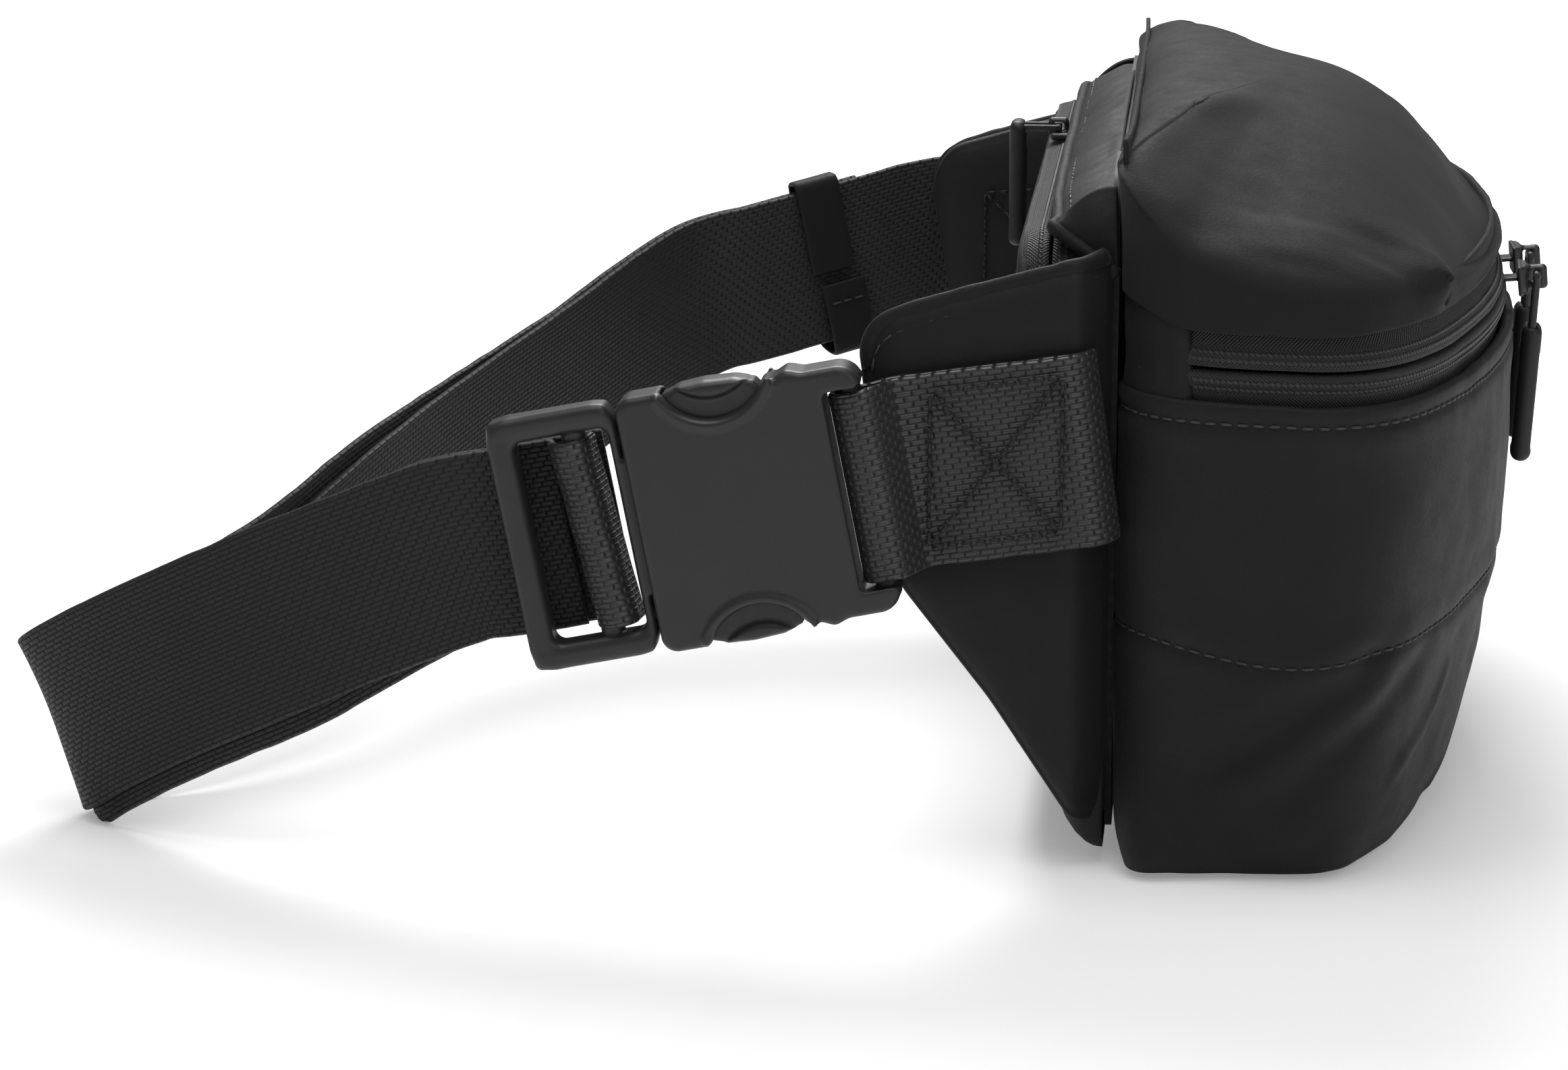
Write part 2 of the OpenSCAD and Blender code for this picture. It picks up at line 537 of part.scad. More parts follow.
base_panel();
base_board();
body_shell();
body_lining();
lower_zip_tape();
lower_zip_coil();
zip_end_tabs();
rear_divider();
rear_gusset();
rear_flap();
rear_zip_front_tape();
rear_zip_rear_tape();
rear_zip_coil();
rear_piping();
back_panel_cover();
back_panel_foam();
back_panel_lining();
wing_near_cover();
wing_near_foam();
wing_near_lining();
wing_far_cover();
wing_far_foam();
wing_far_lining();
lid_shell();
lid_lining();
upper_zip_tape();
upper_zip_coil();
slider_near();
pull_near_link();
pull_near_grip();
slider_far();
pull_far_link();
pull_far_grip();
rear_slider();
rear_pull_link();
rear_pull_grip();
anchor_webbing();
belt_webbing();
belt_tail();
buckle_socket();
buckle_plug();
plug_webbing_turn();
prong_upper();
prong_lower();
tail_keeper();
near_box_stitch();
far_box_stitch();
hem_stitching();
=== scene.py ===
import math
import bpy
import numpy as np
from mathutils import Matrix, Vector


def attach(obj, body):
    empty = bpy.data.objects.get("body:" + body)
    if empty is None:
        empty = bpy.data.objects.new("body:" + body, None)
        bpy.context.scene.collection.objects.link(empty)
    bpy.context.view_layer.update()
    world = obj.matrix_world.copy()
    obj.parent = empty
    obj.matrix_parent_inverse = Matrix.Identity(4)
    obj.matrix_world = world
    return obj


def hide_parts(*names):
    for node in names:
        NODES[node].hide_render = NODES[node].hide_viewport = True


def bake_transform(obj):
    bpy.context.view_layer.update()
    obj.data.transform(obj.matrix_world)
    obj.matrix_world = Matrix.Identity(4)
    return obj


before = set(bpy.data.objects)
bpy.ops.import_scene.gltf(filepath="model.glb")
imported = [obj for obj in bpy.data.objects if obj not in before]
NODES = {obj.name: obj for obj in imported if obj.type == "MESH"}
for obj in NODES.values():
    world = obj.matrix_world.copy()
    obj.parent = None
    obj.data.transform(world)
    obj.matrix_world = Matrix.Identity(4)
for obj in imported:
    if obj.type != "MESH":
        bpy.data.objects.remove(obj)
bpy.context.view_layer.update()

S = 0.001          # the geometry below is written in millimetres


# ------------------------------------------------------------------ numbers
def lerp(a, b, t):
    return a + (b - a) * t


def sstep(a, b, x):
    t = np.clip((np.asarray(x, float) - a) / (b - a), 0, 1)
    return t * t * (3 - 2 * t)


def unit(v):
    v = np.asarray(v, float)
    return v / np.maximum(np.linalg.norm(v, axis=-1, keepdims=True), 1e-12)


def vnoise(P, scale, seed=0):
    """Smooth value noise in -1..1 at points P, features about `scale` mm across."""
    Q = np.asarray(P, float) / scale
    I = np.floor(Q).astype(np.int64)
    f = Q - I
    f = f * f * f * (f * (f * 6 - 15) + 10)

    def h(i, j, k):
        n = (i * 374761393 + j * 668265263 + k * 1442695041 + seed * 974711) & 0xFFFFFFFF
        n = ((n ^ (n >> 13)) * 1274126177) & 0xFFFFFFFF
        n = n ^ (n >> 16)
        return (n & 0xFFFF) / 65535.0 * 2 - 1
    out = 0
    for a in (0, 1):
        for b in (0, 1):
            for c in (0, 1):
                w = ((f[..., 0] if a else 1 - f[..., 0]) * (f[..., 1] if b else 1 - f[..., 1]) * (f[..., 2] if c else 1 - f[..., 2]))
                out = out + w * h(I[..., 0] + a, I[..., 1] + b, I[..., 2] + c)
    return out


def fbm(P, scale, seed=0, octaves=3):
    return sum(vnoise(P, scale / 2 ** k, seed + k) * 0.5 ** k for k in range(octaves))


def seg_dist(P, poly):
    """Distance from each point to a polyline, the share of the way along it, and which side it is on (needs a normal)."""
    best = np.full(P.shape[:-1], 1e9)
    along = np.zeros(P.shape[:-1])
    off = np.zeros(P.shape)
    dirs = np.zeros(P.shape)
    poly = np.asarray(poly, float)
    L = np.r_[0, np.cumsum(np.linalg.norm(np.diff(poly, axis=0), axis=1))]
    for i in range(len(poly) - 1):
        a, d = poly[i], poly[i + 1] - poly[i]
        t = np.clip(((P - a) @ d) / (d @ d), 0, 1)
        q = P - (a + t[..., None] * d)
        r = np.linalg.norm(q, axis=-1)
        m = r < best
        best = np.where(m, r, best)
        along = np.where(m, (L[i] + t * (L[i + 1] - L[i])) / L[-1], along)
        off[m] = q[m]
        dirs[m] = d / np.linalg.norm(d)
    return best, along, off, dirs


def smooth_poly(poly, n=6):
    """A denser polyline through the same points."""
    p = np.asarray(poly, float)
    out = []
    for i in range(len(p) - 1):
        a, b, c, d = p[max(i - 1, 0)], p[i], p[i + 1], p[min(i + 2, len(p) - 1)]
        for k in range(n):
            t = k / n
            out.append(0.5 * (2 * b + (c - a) * t + (2 * a - 5 * b + 4 * c - d) * t * t + (3 * b - a - 3 * c + d) * t ** 3))
    out.append(p[-1])
    return np.array(out)


def resample(poly, step=None, n=None):
    p = np.asarray(poly, float)
    L = np.r_[0, np.cumsum(np.linalg.norm(np.diff(p, axis=0), axis=1))]
    m = n or max(2, int(round(L[-1] / step)) + 1)
    t = np.linspace(0, L[-1], m)
    return np.stack([np.interp(t, L, p[:, k]) for k in range(p.shape[1])], 1), t


# ------------------------------------------------------------------ meshes
def make(name, V, F, mats, body=None, slot=None, uv=None, face_mat=None, smooth=True, replaces=(), luv=None):
    me = bpy.data.meshes.new(name)
    me.from_pydata((np.asarray(V, float) * S).tolist(), [], F.tolist() if isinstance(F, np.ndarray) else F)
    if not isinstance(mats, (list, tuple)):
        mats = [mats]
    for m in mats:
        me.materials.append(m)
    if face_mat is not None:
        me.polygons.foreach_set("material_index", np.asarray(face_mat, np.int32))
    if uv is not None or luv is not None:
        layer = me.uv_layers.new(name="UVMap")
        if luv is None:
            idx = np.zeros(len(me.loops), np.int32)
            me.loops.foreach_get("vertex_index", idx)
            luv = np.asarray(uv, float)[idx]
        layer.data.foreach_set("uv", (np.asarray(luv, float) * S).astype(np.float32).ravel())
    me.polygons.foreach_set("use_smooth", np.full(len(me.polygons), bool(smooth)))
    me.update()
    o = bpy.data.objects.new(name, me)
    bpy.context.scene.collection.objects.link(o)
    if body:
        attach(o, body)
    if replaces:
        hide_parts(*replaces)
    return o


def quads(n, m, wrap_n=False, wrap_m=False, flip=False):
    i, j = np.meshgrid(np.arange(n if wrap_n else n - 1), np.arange(m if wrap_m else m - 1), indexing="ij")
    i, j = i.ravel(), j.ravel()
    i1, j1 = (i + 1) % n, (j + 1) % m
    f = np.stack([i * m + j, i1 * m + j, i1 * m + j1, i * m + j1], 1)
    return f[:, ::-1] if flip else f


def grid_normals(P, wrap_n=False, wrap_m=False):
    def diff(A, axis, wrap):
        if wrap:
            return np.roll(A, -1, axis) - np.roll(A, 1, axis)
        return np.gradient(A, axis=axis)
    return unit(np.cross(diff(P, 0, wrap_n), diff(P, 1, wrap_m)))


def solidify(o, t, offset=-1.0, rim=True):
    m = o.modifiers.new("thickness", "SOLIDIFY")
    m.thickness = t * S
    m.offset = offset
    m.use_rim = rim
    m.use_even_offset = False
    return o


def bake(o):
    """Applies every modifier, so that the mesh itself is the final shape."""
    bpy.context.view_layer.update()
    dg = bpy.context.evaluated_depsgraph_get()
    me = bpy.data.meshes.new_from_object(o.evaluated_get(dg), preserve_all_data_layers=True, depsgraph=dg)
    o.modifiers.clear()
    o.data = me
    return o


def closed_strip(name, P, Q, mat, **kw):
    """Closed sheet between grid P (outer) and grid Q (inner), both (n, m, 3)."""
    n, m = P.shape[:2]
    V = np.concatenate([P.reshape(-1, 3), Q.reshape(-1, 3)])
    F = quads(n, m)
    k = n * m
    G = F[:, ::-1] + k
    rim = []
    ring = [i * m for i in range(n)] + [(n - 1) * m + j for j in range(1, m)] + [i * m + m - 1 for i in range(n - 2, -1, -1)] + [j for j in range(m - 2, 0, -1)]
    for a in range(len(ring)):
        b = (a + 1) % len(ring)
        rim.append([ring[b], ring[a], ring[a] + k, ring[b] + k])
    F = np.concatenate([F, G, np.array(rim)])
    uv = kw.pop("uv", None)
    if uv is not None:
        uv = np.concatenate([uv.reshape(-1, 2), uv.reshape(-1, 2)])
    return make(name, V, F, mat, uv=uv, **kw)


def tube(path, r, sides=10, cap=True, closed=False, ellipse=None, up=None):
    """Vertices and faces of a round tube along a path. r may be one number or one per point."""
    p = np.asarray(path, float)
    n = len(p)
    T = unit(np.roll(p, -1, 0) - np.roll(p, 1, 0)) if closed else unit(np.gradient(p, axis=0))
    ref = np.array(up if up is not None else (0, 0, 1.0), float)
    if up is None and abs(T[0] @ ref) > 0.9:
        ref = np.array([1.0, 0, 0])
    B = np.zeros_like(p)
    b = unit(np.cross(T[0], ref))
    for i in range(n):
        b = unit(b - T[i] * (b @ T[i])) if up is None else unit(np.cross(T[i], ref))
        B[i] = b
    N = np.cross(B, T)
    a = np.arange(sides) / sides * 2 * math.pi
    rr = np.broadcast_to(np.asarray(r, float), (n,))[:, None, None]
    ea, eb = ellipse or (1, 1)
    V = p[:, None, :] + rr * (ea * np.cos(a)[None, :, None] * B[:, None, :] + eb * np.sin(a)[None, :, None] * N[:, None, :])
    F = quads(n, sides, wrap_n=closed, wrap_m=True).tolist()
    if cap and not closed:
        F += [list(range(sides))[::-1][::-1], [(n - 1) * sides + k for k in range(sides)][::-1]]
    return V.reshape(-1, 3), F


def merge(parts):
    V, F, k = [], [], 0
    for v, f in parts:
        V.append(np.asarray(v, float))
        F += [[int(i) + k for i in q] for q in (f.tolist() if isinstance(f, np.ndarray) else f)]
        k += len(v)
    return np.concatenate(V), F


def stamp(tv, tf, O, T, N, B=None):
    """Copies of a small template (x along T, y along N, z along B) at many places, as one mesh."""
    O, T, N = (np.asarray(a, float) for a in (O, T, N))
    B = np.cross(T, N) if B is None else B
    V = O[:, None] + tv[None, :, 0:1] * T[:, None] + tv[None, :, 1:2] * N[:, None] + tv[None, :, 2:3] * B[:, None]
    k = len(tv)
    F = []
    for i in range(len(O)):
        F += [[q + i * k for q in f] for f in tf]
    return V.reshape(-1, 3), F


def stitch_template(L, r, lift=0.25, sink=0.1, twist=0):
    n, m = 7, 6
    V = []
    for i in range(n):
        t = 2 * i / (n - 1) - 1
        rad = r * (1 - 0.45 * abs(t) ** 4)
        y = lift * (1 - t ** 4) - sink - 1.6 * r * abs(t) ** 6
        for k in range(m):
            a = 2 * math.pi * k / m
            V.append([t * L / 2, y + rad * math.cos(a), rad * math.sin(a)])
    F = quads(n, m, wrap_m=True, flip=True).tolist()
    k = len(V)
    V += [[-L / 2 - r * 0.4, -sink - 1.6 * r, 0], [L / 2 + r * 0.4, -sink - 1.6 * r, 0]]
    F += [[j, (j + 1) % m, k] for j in range(m)] + [[(n - 1) * m + (j + 1) % m, (n - 1) * m + j, k + 1] for j in range(m)]
    return np.array(V), F


def knot_template(L, w, h):
    n, m = 5, 6
    V = []
    for i in range(1, n):
        a = math.pi * i / n
        for k in range(m):
            b = 2 * math.pi * k / m
            V.append([-L / 2 * math.cos(a), h * math.sin(a) * math.cos(b), w / 2 * math.sin(a) * math.sin(b)])
    F = quads(n - 1, m, wrap_m=True, flip=True).tolist()
    k = len(V)
    V += [[-L / 2, 0, 0], [L / 2, 0, 0]]
    F += [[j, (j + 1) % m, k] for j in range(m)] + [[(n - 2) * m + (j + 1) % m, (n - 2) * m + j, k + 1] for j in range(m)]
    return np.array(V), F


def stitch_line(pts, nrm, pitch, gap=0.55, r=0.3, lift=0.2, sink=0.05, jitter=0.0, seed=1):
    """Running stitches along a dense polyline on a surface: returns (V, F)."""
    p = np.asarray(pts, float)
    L = np.r_[0, np.cumsum(np.linalg.norm(np.diff(p, axis=0), axis=1))]
    k = max(1, int(L[-1] / pitch))
    step = L[-1] / k
    mid = (np.arange(k) + 0.5) * step
    rng = np.random.default_rng(seed)
    f = lambda A, t: np.stack([np.interp(t, L, A[:, c]) for c in range(3)], 1)
    O = f(p, mid)
    T = unit(f(p, mid + step * 0.3) - f(p, mid - step * 0.3))
    N = unit(f(np.asarray(nrm, float), mid))
    N = unit(N - T * (N * T).sum(1)[:, None])
    B = np.cross(T, N)
    if jitter:
        a = rng.normal(0, jitter, k)[:, None]
        T = unit(T + B * a)
        B = np.cross(T, N)
    tv, tf = stitch_template(step - gap, r, lift, sink)
    return stamp(tv, tf, O, T, N, B)


# ------------------------------------------------------------------ solids from distance fields
def s_box(x, y, z, c, h, r=0.0):
    qx, qy, qz = abs(x - c[0]) - (h[0] - r), abs(y - c[1]) - (h[1] - r), abs(z - c[2]) - (h[2] - r)
    return np.sqrt(np.maximum(qx, 0) ** 2 + np.maximum(qy, 0) ** 2 + np.maximum(qz, 0) ** 2) + np.minimum(np.maximum(qx, np.maximum(qy, qz)), 0) - r


def s_rect(y, z, c, h, r=0.0):
    qy, qz = abs(y - c[0]) - (h[0] - r), abs(z - c[1]) - (h[1] - r)
    return np.sqrt(np.maximum(qy, 0) ** 2 + np.maximum(qz, 0) ** 2) + np.minimum(np.maximum(qy, qz), 0) - r


def s_poly(y, z, pts):
    """2-D distance to a polygon."""
    pts = np.asarray(pts, float)
    d = np.full(y.shape, 1e9)
    s = np.ones(y.shape)
    n = len(pts)
    for i in range(n):
        a, b = pts[i], pts[i - 1]
        e, wy, wz = b - a, y - a[0], z - a[1]
        t = np.clip((wy * e[0] + wz * e[1]) / (e @ e), 0, 1)
        d = np.minimum(d, (wy - e[0] * t) ** 2 + (wz - e[1] * t) ** 2)
        c1, c2, c3 = z >= a[1], z < b[1], e[0] * wz > e[1] * wy
        flip = (c1 & c2 & c3) | (~c1 & ~c2 & ~c3)
        s = np.where(flip, -s, s)
    return s * np.sqrt(d)


def s_ext(d2, x, h, r=0.0):
    """Extrudes a 2-D field along x to half height h, with its edges rounded by r."""
    w = abs(x) - h
    a, b = d2 + r, w + r
    return np.minimum(np.maximum(a, b), 0) + np.sqrt(np.maximum(a, 0) ** 2 + np.maximum(b, 0) ** 2) - r


def s_cyl(a, b, r):
    return np.sqrt(a * a + b * b) - r


def smin(a, b, k):
    h = np.clip(0.5 + 0.5 * (b - a) / k, 0, 1)
    return b * (1 - h) + a * h - k * h * (1 - h)


def smax(a, b, k):
    return -smin(-a, -b, k)


def nets(field, lo, hi, h):
    """Surface of field < 0 as smooth quads."""
    ax = [np.arange(l - 1.5 * h, u + 2.5 * h, h) for l, u in zip(lo, hi)]
    G = np.meshgrid(*ax, indexing="ij")
    D = field(*G)
    neg = D < 0
    c = [neg[a:neg.shape[0] - 1 + a, b:neg.shape[1] - 1 + b, d:neg.shape[2] - 1 + d] for a in (0, 1) for b in (0, 1) for d in (0, 1)]
    cnt = sum(x.astype(np.int8) for x in c)
    act = (cnt > 0) & (cnt < 8)
    idx = np.full(act.shape, -1, np.int64)
    ijk = np.argwhere(act)
    idx[act] = np.arange(len(ijk))
    corner = {(a, b, d): D[ijk[:, 0] + a, ijk[:, 1] + b, ijk[:, 2] + d] for a in (0, 1) for b in (0, 1) for d in (0, 1)}
    tot, num = np.zeros((len(ijk), 3)), np.zeros(len(ijk))
    for axis in range(3):
        for u in (0, 1):
            for v in (0, 1):
                k0 = [0, 0, 0]
                o = [q for q in range(3) if q != axis]
                k0[o[0]], k0[o[1]] = u, v
                k1 = list(k0)
                k1[axis] = 1
                a, b = corner[tuple(k0)], corner[tuple(k1)]
                m = (a < 0) != (b < 0)
                t = np.where(m, a / np.where(m, a - b, 1), 0)
                p = np.array(k0, float)[None] + 0 * tot
                p[:, axis] = t
                tot += p * m[:, None]
                num += m
    V = (ijk + tot / num[:, None]) * h + np.array([a[0] for a in ax])
    F = []
    for axis in range(3):
        o = [q for q in range(3) if q != axis]
        lo_s = [slice(None)] * 3
        hi_s = [slice(None)] * 3
        lo_s[axis], hi_s[axis] = slice(0, -1), slice(1, None)
        a, b = neg[tuple(lo_s)], neg[tuple(hi_s)]
        cross = a != b
        e = np.argwhere(cross)
        e = e[(e[:, o[0]] > 0) & (e[:, o[1]] > 0) & (e[:, o[0]] < idx.shape[o[0]]) & (e[:, o[1]] < idx.shape[o[1]])]
        q = []
        for u, v in ((1, 1), (0, 1), (0, 0), (1, 0)):
            k = e.copy()
            k[:, o[0]] -= u
            k[:, o[1]] -= v
            q.append(idx[k[:, 0], k[:, 1], k[:, 2]])
        q = np.stack(q, 1)
        inside_first = a[e[:, 0], e[:, 1], e[:, 2]]
        flip = inside_first if axis != 1 else ~inside_first
        q = np.where(flip[:, None], q, q[:, ::-1])
        F.append(q)
    F = np.concatenate(F)
    F = F[(F >= 0).all(1)]
    e = 0.05
    for _ in range(3):
        x, y, z = V[:, 0], V[:, 1], V[:, 2]
        d = field(x, y, z)
        g = np.stack([field(x + e, y, z) - field(x - e, y, z), field(x, y + e, z) - field(x, y - e, z), field(x, y, z + e) - field(x, y, z - e)], 1) / (2 * e)
        step = np.clip(d, -0.4 * h, 0.4 * h)
        V = V - g / np.maximum((g * g).sum(1), 0.25)[:, None] * step[:, None]
    return V, F


# ------------------------------------------------------------------ materials
class Mat:
    def __init__(self, name):
        self.m = bpy.data.materials.new(name)
        self.m.use_nodes = True
        self.t = self.m.node_tree
        self.b = self.t.nodes["Principled BSDF"]
        self.co = self.t.nodes.new("ShaderNodeTexCoord")

    def link(self, a, b):
        self.t.links.new(a, b)

    def put(self, node, key, val):
        if hasattr(val, "is_output") or isinstance(val, bpy.types.NodeSocket):
            self.link(val, node.inputs[key])
        else:
            node.inputs[key].default_value = val

    def math(self, op, a, b=None, c=None, clamp=False):
        n = self.t.nodes.new("ShaderNodeMath")
        n.operation = op
        n.use_clamp = clamp
        for i, v in enumerate((a, b, c)):
            if v is not None:
                self.put(n, i, v)
        return n.outputs[0]

    def noise(self, vec, scale, detail=3, rough=0.5, distortion=0.0):
        n = self.t.nodes.new("ShaderNodeTexNoise")
        self.link(vec, n.inputs["Vector"])
        n.inputs["Scale"].default_value = scale
        n.inputs["Detail"].default_value = detail
        n.inputs["Roughness"].default_value = rough
        n.inputs["Distortion"].default_value = distortion
        return n.outputs["Fac"]

    def voronoi(self, vec, scale, feature="F1"):
        n = self.t.nodes.new("ShaderNodeTexVoronoi")
        n.feature = feature
        self.link(vec, n.inputs["Vector"])
        n.inputs["Scale"].default_value = scale
        return n.outputs["Distance"]

    def ramp(self, fac, lo, hi, a=0.0, b=1.0):
        n = self.t.nodes.new("ShaderNodeMapRange")
        self.put(n, "Value", fac)
        n.inputs["From Min"].default_value = lo
        n.inputs["From Max"].default_value = hi
        n.inputs["To Min"].default_value = a
        n.inputs["To Max"].default_value = b
        return n.outputs["Result"]

    def mix(self, fac, a, b):
        n = self.t.nodes.new("ShaderNodeMix")
        n.data_type = "RGBA"
        self.put(n, "Factor", fac)
        self.put(n, "A", (*a, 1) if isinstance(a, tuple) else a)
        self.put(n, "B", (*b, 1) if isinstance(b, tuple) else b)
        return n.outputs["Result"]

    def bump(self, height, strength, distance, normal=None):
        n = self.t.nodes.new("ShaderNodeBump")
        n.inputs["Strength"].default_value = strength
        n.inputs["Distance"].default_value = distance
        self.link(height, n.inputs["Height"])
        if normal is not None:
            self.link(normal, n.inputs["Normal"])
        return n.outputs["Normal"]

    def sep(self, vec):
        n = self.t.nodes.new("ShaderNodeSeparateXYZ")
        self.link(vec, n.inputs[0])
        return n.outputs[0], n.outputs[1], n.outputs[2]

    def sets(self, **kw):
        names = {"color": "Base Color", "rough": "Roughness", "metal": "Metallic", "spec": "Specular IOR Level", "normal": "Normal",
                 "sheen": "Sheen Weight", "sheen_rough": "Sheen Roughness", "coat": "Coat Weight", "coat_rough": "Coat Roughness", "ior": "IOR"}
        for k, v in kw.items():
            key = names[k]
            if key == "Base Color" and isinstance(v, tuple):
                v = (*v, 1)
            self.put(self.b, key, v)
        return self.m


def grey(v, warm=0.0):
    return (v * (1 + warm), v, v * (1 - 0.4 * warm))


def m_fabric(name, base=0.021, rough=0.52, spec=0.4, grain=1.0, warm=0.05):
    """Coated fabric: fine pebbled coating over a woven ground."""
    w = Mat(name)
    g = w.co.outputs["Object"]
    big = w.noise(g, 14, 3, 0.55)
    mid = w.noise(g, 160, 4, 0.6)
    fine = w.noise(g, 1500, 2, 0.5)
    cell = w.voronoi(g, 1700)
    col = w.mix(w.ramp(big, 0.35, 0.65), grey(base * 0.92, warm), grey(base * 1.08, warm))
    col = w.mix(w.ramp(fine, 0.3, 0.75, 0, 0.35), col, grey(base * 1.5, warm))
    ro = w.math("ADD", w.ramp(mid, 0.3, 0.7, rough - 0.04, rough + 0.05), w.ramp(fine, 0.3, 0.7, -0.03, 0.05))
    h = w.math("ADD", w.math("MULTIPLY", cell, 0.7), w.math("MULTIPLY", fine, 0.6))
    n1 = w.bump(h, 0.16 * grain, 0.00025)
    n2 = w.bump(mid, 0.10 * grain, 0.0008, n1)
    return w.sets(color=col, rough=ro, spec=spec, normal=n2, sheen=0.04, sheen_rough=0.5)


def m_webbing(name, pitch=1.05, length=2.9, shift=0.5, base=0.022, spec=0.55, rough=0.42, depth=1.0, warp=0.0):
    """Woven webbing, UV in metres: rows along U, floats of yarn staggered row by row."""
    w = Mat(name)
    x, y, _ = w.sep(w.co.outputs["UV"])
    wob = w.noise(w.co.outputs["UV"], 900, 2, 0.5)
    v = w.math("ADD", w.math("MULTIPLY", y, 1000.0 / pitch), w.math("MULTIPLY", w.math("SUBTRACT", wob, 0.5), 0.10))
    row = w.math("FLOOR", v)
    fv = w.math("FRACT", v)
    u = w.math("ADD", w.math("MULTIPLY", x, 1000.0 / length), w.math("MULTIPLY", row, shift))
    u = w.math("ADD", u, w.math("MULTIPLY", w.math("SUBTRACT", wob, 0.5), 0.12))
    fu = w.math("FRACT", u)
    cv = w.math("ABSOLUTE", w.math("SUBTRACT", w.math("MULTIPLY", fv, 2.0), 1.0))
    cu = w.math("ABSOLUTE", w.math("SUBTRACT", w.math("MULTIPLY", fu, 2.0), 1.0))
    across = w.math("SUBTRACT", 1.0, w.math("POWER", cv, 3.0))
    along = w.math("SUBTRACT", 1.0, w.math("POWER", cu, 7.0))
    hgt = w.math("MULTIPLY", across, along)
    fil = w.math("SINE", w.math("MULTIPLY", v, 2 * math.pi * 4))
    hgt2 = w.math("ADD", hgt, w.math("MULTIPLY", fil, 0.05))
    big = w.noise(w.co.outputs["Object"], 30, 3, 0.5)
    # painted shade: the gaps between the yarn floats are painted near black (base * 0.16); the float tops keep the
    # webbing's colour with a random tone
    painted_shade_fac = w.ramp(hgt, 0.0, 0.9)
    col = w.mix(painted_shade_fac, grey(base * 0.16), w.mix(w.ramp(big, 0.35, 0.65), grey(base * 0.9, 0.03), grey(base * 1.12, 0.03)))
    ro = w.ramp(hgt, 0.0, 1.0, 0.75, rough)
    n = w.bump(hgt2, 0.75 * depth, 0.00042)
    return w.sets(color=col, rough=ro, spec=spec, normal=n, sheen=0.05, sheen_rough=0.4)


def m_tape(name, base=0.019):
    """Zip tape: herringbone twill, UV in metres."""
    w = Mat(name)
    x, y, _ = w.sep(w.co.outputs["UV"])
    zig = w.math("PINGPONG", w.math("MULTIPLY", y, 1000.0), 2.7)
    wob = w.noise(w.co.outputs["UV"], 700, 2, 0.5)
    ph = w.math("ADD", w.math("MULTIPLY", x, 1000.0), w.math("MULTIPLY", zig, 1.15))
    ph = w.math("ADD", ph, w.math("MULTIPLY", wob, 0.35))
    rib = w.math("SINE", w.math("MULTIPLY", ph, 2 * math.pi / 0.82))
    cross = w.math("SINE", w.math("MULTIPLY", y, 2 * math.pi * 1000 / 0.42))
    hgt = w.math("ADD", rib, w.math("MULTIPLY", cross, 0.3))
    # painted shade and highlight: the twill's valleys are painted dark (base * 0.35) and its rib crests lighter (base *
    # 1.5)
    painted_shade_fac = w.ramp(hgt, -1.0, 1.0)
    col = w.mix(painted_shade_fac, grey(base * 0.35), grey(base * 1.5, 0.02))
    n = w.bump(hgt, 0.6, 0.00018)
    return w.sets(color=col, rough=w.ramp(hgt, -1, 1, 0.75, 0.5), spec=0.4, normal=n, sheen=0.08)


def m_plastic(name, base=0.030, rough=0.40, spec=0.5, tex=1.0):
    """Moulded acetal with a fine spark texture."""
    w = Mat(name)
    g = w.co.outputs["Object"]
    fine = w.noise(g, 1900, 3, 0.6)
    mid = w.noise(g, 260, 3, 0.5)
    big = w.noise(g, 35, 2, 0.5)
    col = w.mix(w.ramp(big, 0.3, 0.7), grey(base * 0.94, 0.06), grey(base * 1.06, 0.06))
    # painted highlight: convex edges, found by pointiness, are painted lighter, towards base * 1.7
    geo = w.t.nodes.new("ShaderNodeNewGeometry")
    edge = w.ramp(geo.outputs["Pointiness"], 0.52, 0.62, 0, 1)
    col = w.mix(w.math("MULTIPLY", edge, 0.35, clamp=True), col, grey(base * 1.7, 0.05))
    ro = w.math("ADD", w.ramp(mid, 0.3, 0.7, rough - 0.03, rough + 0.04), w.ramp(fine, 0.3, 0.7, -0.03, 0.04))
    n = w.bump(fine, 0.10 * tex, 0.0002)
    return w.sets(color=col, rough=ro, spec=spec, normal=n)


def m_metal(name, base=0.05):
    w = Mat(name)
    g = w.co.outputs["Object"]
    fine = w.noise(g, 1500, 3, 0.6)
    geo = w.t.nodes.new("ShaderNodeNewGeometry")
    edge = w.math("MULTIPLY", w.ramp(geo.outputs["Pointiness"], 0.52, 0.6, 0, 1), w.ramp(w.noise(g, 500, 3, 0.6), 0.45, 0.6), clamp=True)
    col = w.mix(edge, grey(base), grey(base * 3))
    n = w.bump(fine, 0.08, 0.0002)
    return w.sets(color=col, rough=w.ramp(fine, 0.3, 0.7, 0.32, 0.42), metal=0.55, spec=0.5, normal=n)


def m_thread(name, base=0.03):
    w = Mat(name)
    g = w.co.outputs["Object"]
    tw = w.noise(g, 2600, 2, 0.5)
    col = w.mix(w.ramp(tw, 0.3, 0.7), grey(base * 0.6), grey(base * 1.4))
    n = w.bump(tw, 0.5, 0.0002)
    return w.sets(color=col, rough=0.5, spec=0.5, normal=n, sheen=0.1)


